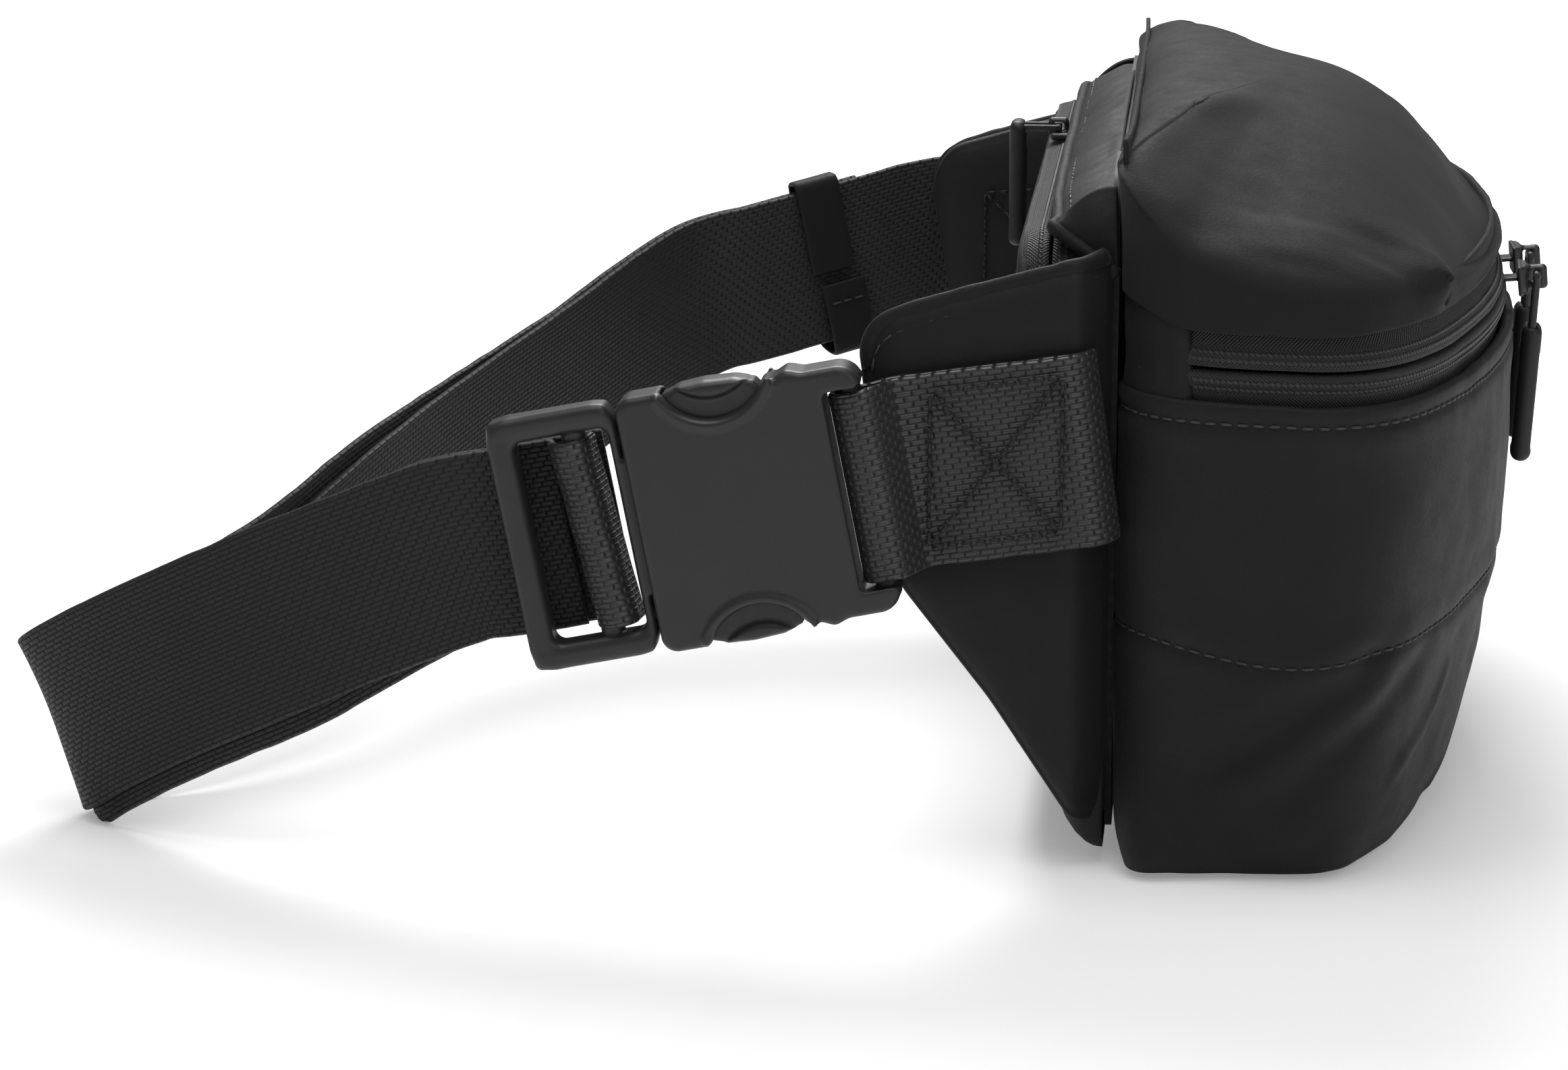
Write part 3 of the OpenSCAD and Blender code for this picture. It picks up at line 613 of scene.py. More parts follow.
def m_lining(name, base=0.045):
    """Light woven lining with a small ripstop grid."""
    w = Mat(name)
    x, y, z = w.sep(w.co.outputs["Object"])

    def cell(c, p):
        return w.math("POWER", w.math("ABSOLUTE", w.math("SINE", w.math("MULTIPLY", c, math.pi / p))), 12.0)
    grid = w.math("MAXIMUM", cell(w.math("ADD", x, y), 0.005), cell(z, 0.005))
    fine = w.noise(w.co.outputs["Object"], 2200, 2, 0.5)
    col = w.mix(w.math("MULTIPLY", grid, 0.6, clamp=True), w.mix(fine, grey(base * 0.8), grey(base * 1.15)), grey(base * 1.6))
    n = w.bump(w.math("ADD", fine, grid), 0.25, 0.0002)
    return w.sets(color=col, rough=0.6, spec=0.35, normal=n, sheen=0.1)


def m_foam(name, base=0.55):
    w = Mat(name)
    g = w.co.outputs["Object"]
    pore = w.voronoi(g, 1100)
    n2 = w.noise(g, 60, 3, 0.5)
    col = w.mix(w.ramp(n2, 0.3, 0.7), (base, base, base * 0.93), (base * 1.1, base * 1.1, base * 1.05))
    n = w.bump(pore, 0.5, 0.0004)
    return w.sets(color=col, rough=0.9, spec=0.2, normal=n)


def m_mesh_pad(name, base=0.02):
    """Spacer mesh on the side that faces the wearer."""
    w = Mat(name)
    g = w.co.outputs["Object"]
    hole = w.voronoi(g, 620)
    # painted shade: the holes of the mesh are painted dark (base * 0.25), the strands between them lighter (base * 1.3)
    painted_shade_fac = w.ramp(hole, 0.15, 0.5)
    col = w.mix(painted_shade_fac, grey(base * 0.25), grey(base * 1.3))
    n = w.bump(hole, 0.55, 0.0006)
    return w.sets(color=col, rough=0.75, spec=0.3, normal=n, sheen=0.15)


FAB = m_fabric("coated_fabric", base=0.0100, rough=0.62, spec=0.24)
# painted light: the lid's copy of the coated fabric is painted lighter (base 0.0125 against 0.0100) for the brighter
# light on the lid's top
FAB_LID_PAINTED_LIGHTER = m_fabric("coated_fabric_lid_painted_lighter", base=0.0125, rough=0.72, spec=0.16)
FAB_DARK = m_fabric("coated_fabric_rear", base=0.010, rough=0.6, spec=0.28)
WEB = m_webbing("belt_weave", pitch=1.0, length=2.6, shift=0.36, base=0.0145, rough=0.5, spec=0.4)
WEB_A = m_webbing("anchor_weave", pitch=1.1, length=3.0, shift=0.5, base=0.020, rough=0.32, spec=0.75, depth=1.3)
TAPE = m_tape("zip_tape_twill")
COIL = m_plastic("zip_coil_nylon", base=0.012, rough=0.35)
PLA = m_plastic("buckle_acetal", base=0.021, rough=0.42)
MET = m_metal("slider_painted")
RUB = m_plastic("pull_rubber", base=0.014, rough=0.5, tex=1.6)
THR = m_thread("thread_dark", base=0.02)
THR_L = m_thread("thread_grey", base=0.030)
THR_D = m_thread("thread_black", base=0.004)
LIN = m_lining("lining_ripstop")
FOAM = m_foam("foam_pores")
BOARD = m_foam("board_grey", base=0.6)
PAD = m_mesh_pad("spacer_mesh")

# ------------------------------------------------------------------ plan of the bag
ARC_X, ARC_SAG = 91.0, 13.5
ARC_R = (ARC_X ** 2 + ARC_SAG ** 2) / (2 * ARC_SAG)
ARC_CY = ARC_R - 82.0
ZIP_Z, HEM_LO, HEM_HI = 103.6, 97.3, 111.0
WX = 117.0


def bez(a, b, c, d, t):
    a, b, c, d = (np.array(p, float) for p in (a, b, c, d))
    t = t[:, None]
    return a * (1 - t) ** 3 + 3 * b * t * (1 - t) ** 2 + 3 * c * t * t * (1 - t) + d * t ** 3


arc_y0 = ARC_CY - math.sqrt(ARC_R ** 2 - ARC_X ** 2)
arc_tan = unit(np.array([math.sqrt(ARC_R ** 2 - ARC_X ** 2), ARC_X]))
tt = np.linspace(0, 1, 160)
ax_ = np.linspace(0, ARC_X, 300)
_arc = np.stack([ax_, ARC_CY - np.sqrt(ARC_R ** 2 - ax_ ** 2)], 1)
_b2 = bez((129, -38), (129, -54), np.array([ARC_X, arc_y0]) + 22 * arc_tan, (ARC_X, arc_y0), tt)[::-1]
_b1 = bez((104, 0), (120, 0), (129, -16), (129, -38), tt)[::-1]
_half = np.concatenate([_arc, _b2[1:], _b1[1:], [[0.0, 0.0]]])
_half, _hs = resample(_half, step=0.25)
H = _hs[-1]
_full = np.concatenate([np.stack([-_half[::-1, 0], _half[::-1, 1]], 1)[:-1], _half])
_k = np.exp(-0.5 * (np.arange(-24, 25) / 8.0) ** 2)
_k /= _k.sum()
_pad = np.concatenate([_full[-25:-1], _full, _full[1:25]])
_sm = np.stack([np.convolve(_pad[:, i], _k, "valid") for i in (0, 1)], 1)
_fs = np.linspace(-H, H, len(_full))
PLAN = _sm
_tan = unit(np.gradient(PLAN, axis=0))
_tan[0] = _tan[-1] = (-1.0, 0) if PLAN[1, 0] < PLAN[0, 0] else (1.0, 0)
_tan[0] = unit(PLAN[1] - PLAN[0])
_tan[-1] = unit(PLAN[-1] - PLAN[-2])
NRM = np.stack([_tan[:, 1], -_tan[:, 0]], 1)
SB = float(_hs[int(np.argmin(np.abs(_half[:, 0] - 104.0) + 10 * np.abs(_half[:, 1])))])     # where the side meets the back


def table(keys, lo=-5, hi=160, sigma=3.0):
    z = np.arange(lo - 20, hi + 20, 0.25)
    v = np.interp(z, [k[0] for k in keys], [k[1] for k in keys])
    k = np.exp(-0.5 * (np.arange(-60, 61) * 0.25 / sigma) ** 2)
    k /= k.sum()
    v = np.convolve(np.pad(v, 60, "edge"), k, "valid")
    return lambda q: np.interp(q, z, v)


sx = table([[0, 0.935], [12, 0.958], [40, 0.985], [70, 1], [300, 1]])
sy = table([[0, 0.868], [8, 0.888], [20, 0.918], [32, 0.942], [44, 0.974], [56, 0.99], [72, 1.002], [90, 1.004], [97, 1.0], [300, 1]])
b_in = table([[-10, 2.4], [0, 2.4], [2, 1.7], [5, 0.8], [9, 0.2], [14, 0], [300, 0]], sigma=1.0)


def outline(s, z=None, inset=0.0):
    """Point on the bag's outline at arc place s (0 is the front middle, negative towards -X), and its outward normal."""
    s = np.asarray(s, float)
    x, y = np.interp(s, _fs, PLAN[:, 0]), np.interp(s, _fs, PLAN[:, 1])
    nx, ny = np.interp(s, _fs, NRM[:, 0]), np.interp(s, _fs, NRM[:, 1])
    if z is not None:
        a, b = sx(z), sy(z)
        x, y = x * a, y * b
        nx, ny = nx * b, ny * a
        inset = inset + b_in(z)
    L = np.sqrt(nx * nx + ny * ny)
    nx, ny = nx / L, ny / L
    return np.stack([x - nx * inset, y - ny * inset], -1), np.stack([nx, ny], -1)


def lean(P):
    """The bag draws back a little above the lower hem: y shrinks with height."""
    P = np.array(P, float)
    k = np.interp(P[..., 2], [96, 103.6, 111, 118, 400], [0, 0.006, 0.038, 0.045, 0.045])
    P[..., 1] *= 1 - k
    return P


# places along the near and far side by Y
_side = _fs < 0


def s_of_y(y, sign=-1):
    """Arc place on the side of the bag at depth y."""
    m = (_fs > 0) & (PLAN[:, 0] > 92)
    yy, ss = PLAN[m, 1], _fs[m]
    o = np.argsort(yy)
    return sign * np.interp(y, yy[o], ss[o])


# ------------------------------------------------------------------ features of the soft panels
def bump_line(P, N, poly, width, amp, power=2.0, ends=0.25):
    """Height added along a soft line: a Gaussian ridge (amp > 0) or valley (amp < 0) fading out towards its ends."""
    d, t, _, _ = seg_dist(P, poly)
    fade = np.clip(np.minimum(t, 1 - t) / max(ends, 1e-6), 0, 1)
    fade = fade * fade * (3 - 2 * fade)
    return amp * np.exp(-(d / width) ** power) * fade


def crease(P, N, poly, depth, width, step, reach, side=1.0, ends=0.15):
    """A sharp valley whose one side stands over the other."""
    d, t, off, dirs = seg_dist(P, poly)
    sg = np.sign((np.cross(dirs, off) * N).sum(-1)) * side
    fade = np.clip((1 - t) / max(ends, 1e-6), 0, 1) if ends > 0 else 1.0
    over = step * np.exp(-(d / reach) ** 1.2) * np.where(sg > 0, 1, -0.7)
    return (over - depth * np.exp(-np.abs(d / width) ** 1.3)) * fade


FOLDS_BODY = [
    # (polyline in 3-D, width, height)
    ([(-119, -10, 24), (-123.8, -18, 31), (-128.4, -33, 42.8), (-121, -53, 53.6)], 6.0, 1.3),
    ([(-118.6, -11, 19), (-126.6, -33.6, 33), (-123.6, -48, 44.5), (-117, -60, 53)], 4.2, -1.4),
    ([(-121, -18, 13), (-123.7, -25, 19.3), (-124.4, -43.5, 35), (-112.5, -57.4, 43)], 4.6, 1.3),
    ([(-121.7, -27, 7.4), (-125, -42, 26), (-112.3, -56, 37.7), (-95, -65, 47)], 4.0, -1.4),
    ([(-110, -54, 15), (-105, -56.8, 20.7), (-88, -63, 27), (-76, -68, 37)], 2.4, 1.0),
    ([(-128, -12, 60), (-128, -25, 66), (-128, -42, 64)], 12, -0.5),
    ([(128, -14, 30), (127, -30, 40), (126, -46, 52)], 7, 0.9),
    ([(127, -20, 16), (125, -38, 30), (120, -55, 48)], 5, -1.0),
    ([(125, -26, 10), (122, -46, 24), (114, -62, 44)], 5, 0.9),
    ([(-60, -74, 20), (-40, -80, 34), (-12, -84, 44)], 9, -0.8),
    ([(-70, -72, 14), (-46, -76, 24), (-16, -80, 30)], 7, 0.8),
    ([(64, -74, 18), (40, -80, 32), (14, -84, 46)], 9, -0.8),
    ([(72, -70, 14), (50, -76, 24), (20, -80, 32)], 7, 0.8),
    ([(-30, -80, 70), (0, -84, 64), (34, -82, 72)], 14, -0.7),
]


def body_height(P, N, s, z):
    out = 0.9 * fbm(P, 46, 11, 2) * sstep(2, 20, z) * (1 - sstep(80, 95, z)) + 0.25 * fbm(P, 17, 5, 2) * (1 - sstep(84, 95, z))
    for poly, w, a in FOLDS_BODY:
        out = out + bump_line(P, N, smooth_poly(poly), w, a)
    # bumps where the side is sewn to the base
    out = out + 0.9 * vnoise(np.stack([s, 0 * s, 0 * s], -1), 13, 3) * np.exp(-((z - 4) / 6.0) ** 2)
    # seams: a groove under each stitch row, the cloth puffed on both sides of it
    for zz in (seam1(s), seam2(s)):
        d = z - zz
        pucker = 1 + 0.35 * vnoise(np.stack([s, 0 * s, 0 * s], -1), 6, 17)
        out = out - 0.55 * np.exp(-(d / 1.0) ** 2) + 0.28 * pucker * (np.exp(-((d - 3.6) / 2.6) ** 2) + np.exp(-((d + 3.2) / 2.6) ** 2))
    return out


def seam1(s):
    return HEM_LO - 3.9 + 0.25 * np.sin(np.asarray(s) / 23.0)


def seam2(s):
    s = np.asarray(s, float)
    a = np.abs(s)
    side_mid = 0.5 * (s_of_y(-32.0, 1) + s_of_y(-32.0, 1))
    return 48.6 - 3.1 * np.exp(-((a - side_mid) / 20.0) ** 2) + 0.8 * np.cos(s / 31.0)


# ------------------------------------------------------------------ front and side panel
sE = SB + 5.0
ns = 560
s_ax = np.linspace(-sE, sE, ns)
z_up = np.concatenate([np.linspace(1.4, 12, 12), np.linspace(12.8, 94.6, 108)])
rows = [(0.7, 24.0), (0.6, 17.0), (0.5, 12.0), (0.45, 8.0), (0.45, 5.0), (0.5, 3.0), (0.75, 1.3)]            # (z, extra inset)
prof = rows + [(z, 0.0) for z in z_up]
for a in np.linspace(15, 180, 10):
    prof.append((96.2 + 1.1 * math.sin(math.radians(a)), 1.1 - 1.1 * math.cos(math.radians(a))))
prof += [(z, 2.2) for z in np.linspace(95.5, 89, 8)]
prof = np.array(prof)
SS, ZZ = np.meshgrid(s_ax, prof[:, 0], indexing="ij")
_, II = np.meshgrid(s_ax, prof[:, 1], indexing="ij")
p2, n2 = outline(SS, ZZ, II)
P0 = np.concatenate([p2, ZZ[..., None]], -1)
N0 = grid_normals(P0)
face_out = np.concatenate([n2, 0 * ZZ[..., None]], -1)
rolled = np.arange(len(prof)) >= len(rows) + len(z_up) + 5
wt = np.where(np.arange(len(prof)) < len(rows) + len(z_up) + 4, 1.0, 0.0)[None, :] * (1 - sstep(sE - 8, sE, np.abs(SS)) * 0.8)
wt = wt * np.where(np.arange(len(prof)) < 3, 0.15, 1.0)[None, :]
hh = body_height(P0, face_out, SS, ZZ) * wt
BODY = P0 + face_out * hh[..., None]
BODY = lean(BODY)


def rear_corner(P):
    """Low down the bag's rear corners are squarer."""
    P = np.array(P, float)
    P[..., 0] *= 1 + 0.06 * (1 - sstep(4, 34, P[..., 2])) * sstep(-26, -4, P[..., 1]) + 0.06 * (1 - sstep(4, 26, P[..., 2])) * sstep(-13, -0.5, P[..., 1]) * sstep(60, 100, np.abs(P[..., 0]))
    return P


BODY = rear_corner(BODY)
# the hem edge wanders a little
wave = 0.22 * vnoise(np.stack([SS, 0 * SS, 0 * SS], -1), 9, 31) * sstep(86, 95, ZZ)
BODY[..., 2] += wave
vlen = np.r_[0, np.cumsum(np.linalg.norm(np.diff(np.stack([prof[:, 1], prof[:, 0]], 1), axis=0), axis=1))]
UVB = np.stack([SS, np.broadcast_to(vlen, SS.shape)], -1).reshape(-1, 2)
o = make("front_side_panel", BODY.reshape(-1, 3), quads(ns, len(prof)), FAB, "bag", "coated_fabric", uv=UVB, replaces=("body_shell",))
solidify(o, 0.9)


class Wall:
    """The rows of a panel grid that climb its outer face, for putting stitches on it."""

    def __init__(self, s, z, P):
        self.s, self.z, self.P = s, z, P

    def at(self, s, z):
        s, z = np.asarray(s, float), np.asarray(z, float)
        i = np.clip(np.interp(s, self.s, np.arange(len(self.s))), 0, len(self.s) - 1.001)
        j = np.clip(np.interp(z, self.z, np.arange(len(self.z))), 0, len(self.z) - 1.001)
        a, b = i.astype(int), j.astype(int)
        u, v = (i - a)[..., None], (j - b)[..., None]
        P = self.P
        return (P[a, b] * (1 - u) + P[a + 1, b] * u) * (1 - v) + (P[a, b + 1] * (1 - u) + P[a + 1, b + 1] * u) * v

    def normal(self, s, z):
        e = 0.8
        return unit(np.cross(self.at(s + e, z) - self.at(s - e, z), self.at(s, z + e) - self.at(s, z - e)))


body_wall = Wall(s_ax, z_up, BODY[:, len(rows):len(rows) + len(z_up)])
parts = []
for fn, seed, r in ((seam1, 1, 0.30), (seam2, 2, 0.28)):
    s_row = np.arange(-(SB - 3), SB - 3, 0.8)
    pts = body_wall.at(s_row, fn(s_row))
    nn = body_wall.normal(s_row, fn(s_row))
    parts.append(stitch_line(pts, nn, 3.15 if seed == 1 else 3.25, 0.55, r, 0.16, 0.02, 0.03, seed))
V, F = merge(parts)
o = make("panel_stitching", V, F, THR_L, "bag", "thread", replaces=("hem_stitching",))

# ------------------------------------------------------------------ base panel
rings = []
for f in np.linspace(1, 0.06, 14):
    s_c = np.linspace(-H, H, 240, endpoint=False)
    q, _ = outline(s_c, 0 * s_c, 3.2)
    back = np.where(np.abs(s_c) > SB - 2)[0]
    c = np.array([0.0, -32.0])
    q = c + (q - c) * f
    # runs under the rear pocket too
    q[:, 1] = np.where(np.abs(s_c) > SB, q[:, 1] + 2.6 * f, q[:, 1])
    zz = 0.35 + 0.35 * (1 - f) ** 2 + 0.18 * vnoise(np.c_[q, np.zeros(len(q))], 22, 8)
    zz = np.where(f > 0.985, 1.3, np.maximum(zz, 0.12))
    rings.append(np.c_[q, zz])
R = np.array(rings)
k = R.shape[1]
V = R.reshape(-1, 3)
F = quads(len(R), k, wrap_m=True).tolist() + [[(len(R) - 1) * k + i for i in range(k)]]
o = make("base_cloth", V, F, FAB_DARK, "bag", "coated_fabric", replaces=("base_panel",))
solidify(o, 0.8, offset=-1.0)
bake(o)

# ------------------------------------------------------------------ main zip: tapes, chain stitches, coils, end tabs
s_tab = s_of_y(-13.6, 1)
s_zip = np.linspace(-(SB - 1.5), SB - 1.5, 620)


def tape_profile(sign):
    """(inset, z) from deep under the hem to the rolled edge at the closing line."""
    z0 = ZIP_Z
    q = [(2.95, 12.6), (2.95, 9.5), (2.9, 7.5), (2.65, 6.2), (2.25, 5.0), (1.85, 4.0), (1.55, 3.0), (1.35, 2.1), (1.25, 1.4), (1.4, 0.85), (1.85, 0.5), (2.5, 0.38), (3.3, 0.36), (4.2, 0.4)]
    q = smooth_poly([(a, b, 0) for a, b in q], 3)[:, :2]
    return np.stack([q[:, 0], z0 + sign * q[:, 1]], 1)


for sign, nm, node, body in ((-1, "zip_tape_lower", "lower_zip_tape", "bag"), (1, "zip_tape_upper", "upper_zip_tape", "lid")):
    pr = tape_profile(sign)
    A, Z = np.meshgrid(s_zip, pr[:, 1], indexing="ij")
    _, I = np.meshgrid(s_zip, pr[:, 0], indexing="ij")
    I = I + 0.12 * vnoise(np.stack([A, Z, 0 * A], -1), 11, 40 + sign)
    q, nq = outline(A, None, I)
    Zw = Z + 0.12 * vnoise(np.stack([A, 0 * A, 0 * A], -1), 14, 43)
    P = lean(np.concatenate([q, Zw[..., None]], -1))
    L = np.r_[0, np.cumsum(np.linalg.norm(np.diff(pr, axis=0), axis=1))]
    uv = np.stack([A, np.broadcast_to(L, A.shape)], -1).reshape(-1, 2)
    o = make(nm, P.reshape(-1, 3), quads(len(s_zip), len(pr), flip=sign > 0), TAPE, body, "zip_tape", uv=uv, replaces=(node,))
    solidify(o, 0.6)
    # two rows of chain stitches beside the closing line
    parts = []
    for dz, ins, w in ((2.15, 1.30, 0.95), (3.55, 1.66, 0.85)):
        s_k = np.arange(-(s_tab - 1.0), s_tab - 1.0, 1.22)
        q, nq = outline(s_k, None, ins)
        O = lean(np.c_[q, np.full(len(s_k), ZIP_Z + sign * dz)])
        N = np.c_[nq, np.zeros(len(s_k))]
        T = np.c_[-nq[:, 1], nq[:, 0], np.zeros(len(s_k))]
        N = unit(N + np.array([0, 0, 0.25 * sign]))
        tilt = np.where(np.arange(len(s_k)) % 2 == 0, 0.45, -0.45)[:, None] * 0 + 0.38
        B = np.cross(T, N)
        T2 = unit(T + B * tilt)
        tv, tf = knot_template(1.35, w, 0.26)
        parts.append(stamp(tv, tf, O, T2, N))
    V, F = merge(parts)
    make(nm + "_chain_stitch", V, F, THR, body, "thread")
    # coil behind the tape
    s_c = np.linspace(-(s_tab + 6), s_tab + 6, int(2 * (s_tab + 6) / 0.36))
    a = s_c / 1.45 * 2 * math.pi + (0 if sign < 0 else math.pi)
    q, nq = outline(s_c, None, 4.3 - 0.95 * np.cos(a))
    path = lean(np.c_[q, ZIP_Z + sign * (0.95 + 0.75 * np.sin(a))])
    V, F = tube(path, 0.3, 5, up=(0.0, 0.0, 1.0))
    make("zip_coil_" + ("lower" if sign < 0 else "upper"), V, F, COIL, body, "zip_coil", replaces=(("lower_zip_coil",) if sign < 0 else ("upper_zip_coil",)))

# fabric tabs that cover the ends of the zip
parts = []
for sgn in (-1, 1):
    sa = np.linspace(s_tab, SB + 3, 40)
    zr = np.r_[97.0, 97.6, np.linspace(98.2, 110.5, 18), 113.5, 117.0]
    A, Z = np.meshgrid(sa, zr, indexing="ij")
    edge = 1 - sstep(0, 2.2, A - s_tab)
    I = 0.75 + 0.5 * sstep(112, 116, Z) + 0.9 * edge ** 2 - 0.2 * np.exp(-((A - s_tab - 3.0) / 1.6) ** 2)
    q, nq = outline(sgn * A, None, I)
    P = np.concatenate([q, Z[..., None]], -1)
    N = np.concatenate([nq, 0 * Z[..., None]], -1)
    P = P + N * (0.22 * fbm(P, 12, 61, 2) - 0.25 * np.exp(-((Z - ZIP_Z) / 4) ** 2) * sstep(2, 6, A - s_tab))[..., None]
    P = lean(P)
    parts.append((P.reshape(-1, 3), quads(len(sa), len(zr), flip=sgn < 0)))
V, F = merge(parts)
o = make("zip_end_tabs_cloth", V, F, FAB, "bag", "coated_fabric", replaces=("zip_end_tabs",))
solidify(o, 1.0)

# ------------------------------------------------------------------ lid


_wt = table([[-82, 114], [-57, 115.5], [-29, 118.6], [-13.5, 123.5], [-5, 132], [0, 139.5], [3, 141.5]], lo=-100, hi=10, sigma=1.6)


def wall_top(y):
    return _wt(y)


_cr = table([[-82, 114.6], [-76.4, 121.2], [-69.7, 131.5], [-61, 139.2], [-50.9, 143.2], [-40, 146.1], [-30, 148.3], [-22, 150.1], [-14, 152], [-6, 153.2], [0, 151.6]], lo=-100, hi=10, sigma=2.5)


def crown(q):
    return _cr(q[:, 1]) - 8.0 * (q[:, 0] / 100.0) ** 2


FOLDS_LID = [
    ([(-110, -1, 142), (-90, -3, 144.3), (-69.5, -7.2, 145.6), (-65, -14.5, 146.8), (-55, -21.8, 146.5), (-41, -32, 145)], 5.5, 1.1),
    ([(-84, 1, 147), (-60, -1, 148), (-48, -9, 148), (-36, -18, 148)], 9.0, -0.9),
    ([(-99.4, -50, 127.4), (-107.6, -50, 125), (-115, -49.8, 121)], 8.0, -0.8),
    ([(-92, -28, 137), (-97, -25.4, 134.7), (-106, -23, 132.8), (-117, -20, 129), (-122, -17, 124)], 7.0, -0.7),
    ([(-106, -36, 131), (-114, -35, 127), (-122, -33, 121)], 11.0, 0.8),
    ([(-118, -8, 133), (-110, -14, 138), (-98, -19, 142)], 8.0, 0.4),
    ([(-96, -58, 121), (-104, -56, 119), (-112, -53, 116)], 4.5, 0.8),
    ([(104, -1, 142), (86, -6, 144.5), (68, -18, 146), (50, -30, 145)], 5.0, 1.2),
    ([(98, -25, 135), (107, -23, 132), (117, -20, 128)], 5.5, -1.2),
    ([(99, -50, 127), (108, -49, 124), (115, -48, 121)], 7.0, -1.3),
    ([(-40, -72, 122), (-10, -62, 134), (20, -50, 141)], 10.0, 0.7),
    ([(10, -74, 120), (36, -64, 131), (60, -52, 136)], 8.0, -0.8),
]
CREASE_LID = [
    # (polyline, depth, width, step, reach, side, ends): hollows under the pinched corners
    ([(-118.5, -2.5, 138.5), (-121, -4.5, 134), (-123, -7, 129)], 2.2, 2.2, 0.5, 5.0, 1.0, 0.6),
    ([(-103, -64.5, 119.5), (-100, -64.5, 116), (-99, -64, 112)], 2.4, 2.0, 0.7, 5.0, 1.0, 0.2),
    ([(118.5, -2.5, 138.5), (121, -4.5, 134), (123, -7, 129)], 2.2, 2.2, 0.5, 5.0, 1.0, 0.6),
    ([(103, -64.5, 119.5), (100, -64.5, 116), (99, -64, 112)], 2.4, 2.0, 0.7, 5.0, -1.0, 0.2),
]


def pinch(P, poly, amps, width, push):
    """Pulls a corner of the lid out along `push`, tapering along the line."""
    poly = smooth_poly(poly)
    d, t, _, _ = seg_dist(P, poly)
    amp = np.interp(t, np.linspace(0, 1, len(amps)), amps)
    return (amp * np.exp(-(d / width) ** 2))[..., None] * unit(np.array(push, float))


def hem_z(s):
    """Lower edge of the lid along the outline."""
    a = np.abs(s)
    y = np.interp(s, _fs, PLAN[:, 1])
    z = HEM_HI + 4.2 * sstep(-15, 0.5, y)
    return lerp(z, 138.4, sstep(SB - 3.5, SB + 0.5, a))


nl = 640
s_lid = np.linspace(-H, H, nl, endpoint=False)
hz = hem_z(s_lid)
xy0, nn0 = outline(s_lid)
wt0 = np.maximum(wall_top(xy0[:, 1]), hz + 1.8)
lid_rows, vrow = [], []
c0 = np.array([0.0, -40.0])
for a in np.linspace(0, 1, 6):                      # turned-in hem, from inside out
    z = lerp(hz + 6.5, hz + 1.0, a)
    q = xy0 - nn0 * 2.1
    lid_rows.append(np.c_[q, z])
for a in np.linspace(15, 180, 9):
    r = math.radians(a)
    q = xy0 - nn0 * (1.05 + 1.05 * math.cos(r))
    lid_rows.append(np.c_[q, hz + 1.05 - 1.05 * math.sin(r)])
n_hem = len(lid_rows)
for a in np.linspace(0.04, 1, 16):
    lid_rows.append(np.c_[xy0, lerp(hz + 1.05, wt0, a)])
n_wall = len(lid_rows)
for a in np.concatenate([np.linspace(3, 84, 46), [86.5]]):
    r = math.radians(a)
    q = c0 + (xy0 - c0) * math.cos(r)
    lid_rows.append(np.c_[q, lerp(wt0, crown(q), math.sin(r) ** 0.85)])
LID0 = lean(np.array(lid_rows).transpose(1, 0, 2))         # (s, row, 3)
LN = grid_normals(LID0, wrap_n=True)
out_dir = np.concatenate([nn0, np.zeros((nl, 1))], 1)
if (LN[:, n_hem + 4] * out_dir).sum() < 0:
    LN = -LN


def lid_height(P, N, S_, rowi):
    w = sstep(n_hem - 2, n_hem + 6, rowi)
    out = (0.8 * fbm(P, 60, 21, 2) + 0.16 * fbm(P, 18, 23, 2)) * w
    for poly, wd, am in FOLDS_LID:
        out = out + bump_line(P, N, smooth_poly(poly), wd, am) * w
    for poly, depth, wd, st, reach, side, ends in CREASE_LID:
        out = out + crease(P, N, smooth_poly(poly), depth, wd, st, reach, side, ends) * np.maximum(w, 0.0)
    return out


RI = np.broadcast_to(np.arange(LID0.shape[1])[None, :], LID0.shape[:2])
SSl = np.broadcast_to(s_lid[:, None], LID0.shape[:2])
LID = LID0 + LN * lid_height(LID0, LN, SSl, RI)[..., None]
for sg in (-1, 1):
    k_ = 1.0 if sg < 0 else 0.45
    LID = LID + pinch(LID, [(sg * 105, -63.5, 120.5), (sg * 101, -62, 125), (sg * 96, -60, 128.5), (sg * 90, -56, 131.5)], [6.0 * k_, 4.4 * k_, 2.2 * k_, 0.4], 6.5, (sg * 0.42, -0.9, 0.1))
    LID = LID + pinch(LID, [(sg * 116, -2.5, 140.5), (sg * 108, -1.5, 143), (sg * 96, -2, 145), (sg * 84, -3, 146)], [1.6 * k_, 1.4 * k_, 0.8 * k_, 0.1], 10.0, (sg * 0.6, 0.75, 0.12))
LID[..., 2] += 0.25 * vnoise(np.stack([SSl, 0 * SSl, 0 * SSl], -1), 8, 77) * (1 - sstep(n_hem, n_hem + 8, RI))
k = LID.shape[1]
V = LID.reshape(-1, 3)
F = quads(nl, k, wrap_n=True)
top = [i * k + k - 1 for i in range(nl)]
lid_V, lid_F = V, F.tolist() + [top]
# the lid wears the lighter copy of the fabric, painted light
o = make("lid_cloth", lid_V, lid_F, FAB_LID_PAINTED_LIGHTER, "lid", "coated_fabric", replaces=("lid_shell",))
solidify(o, 1.0)

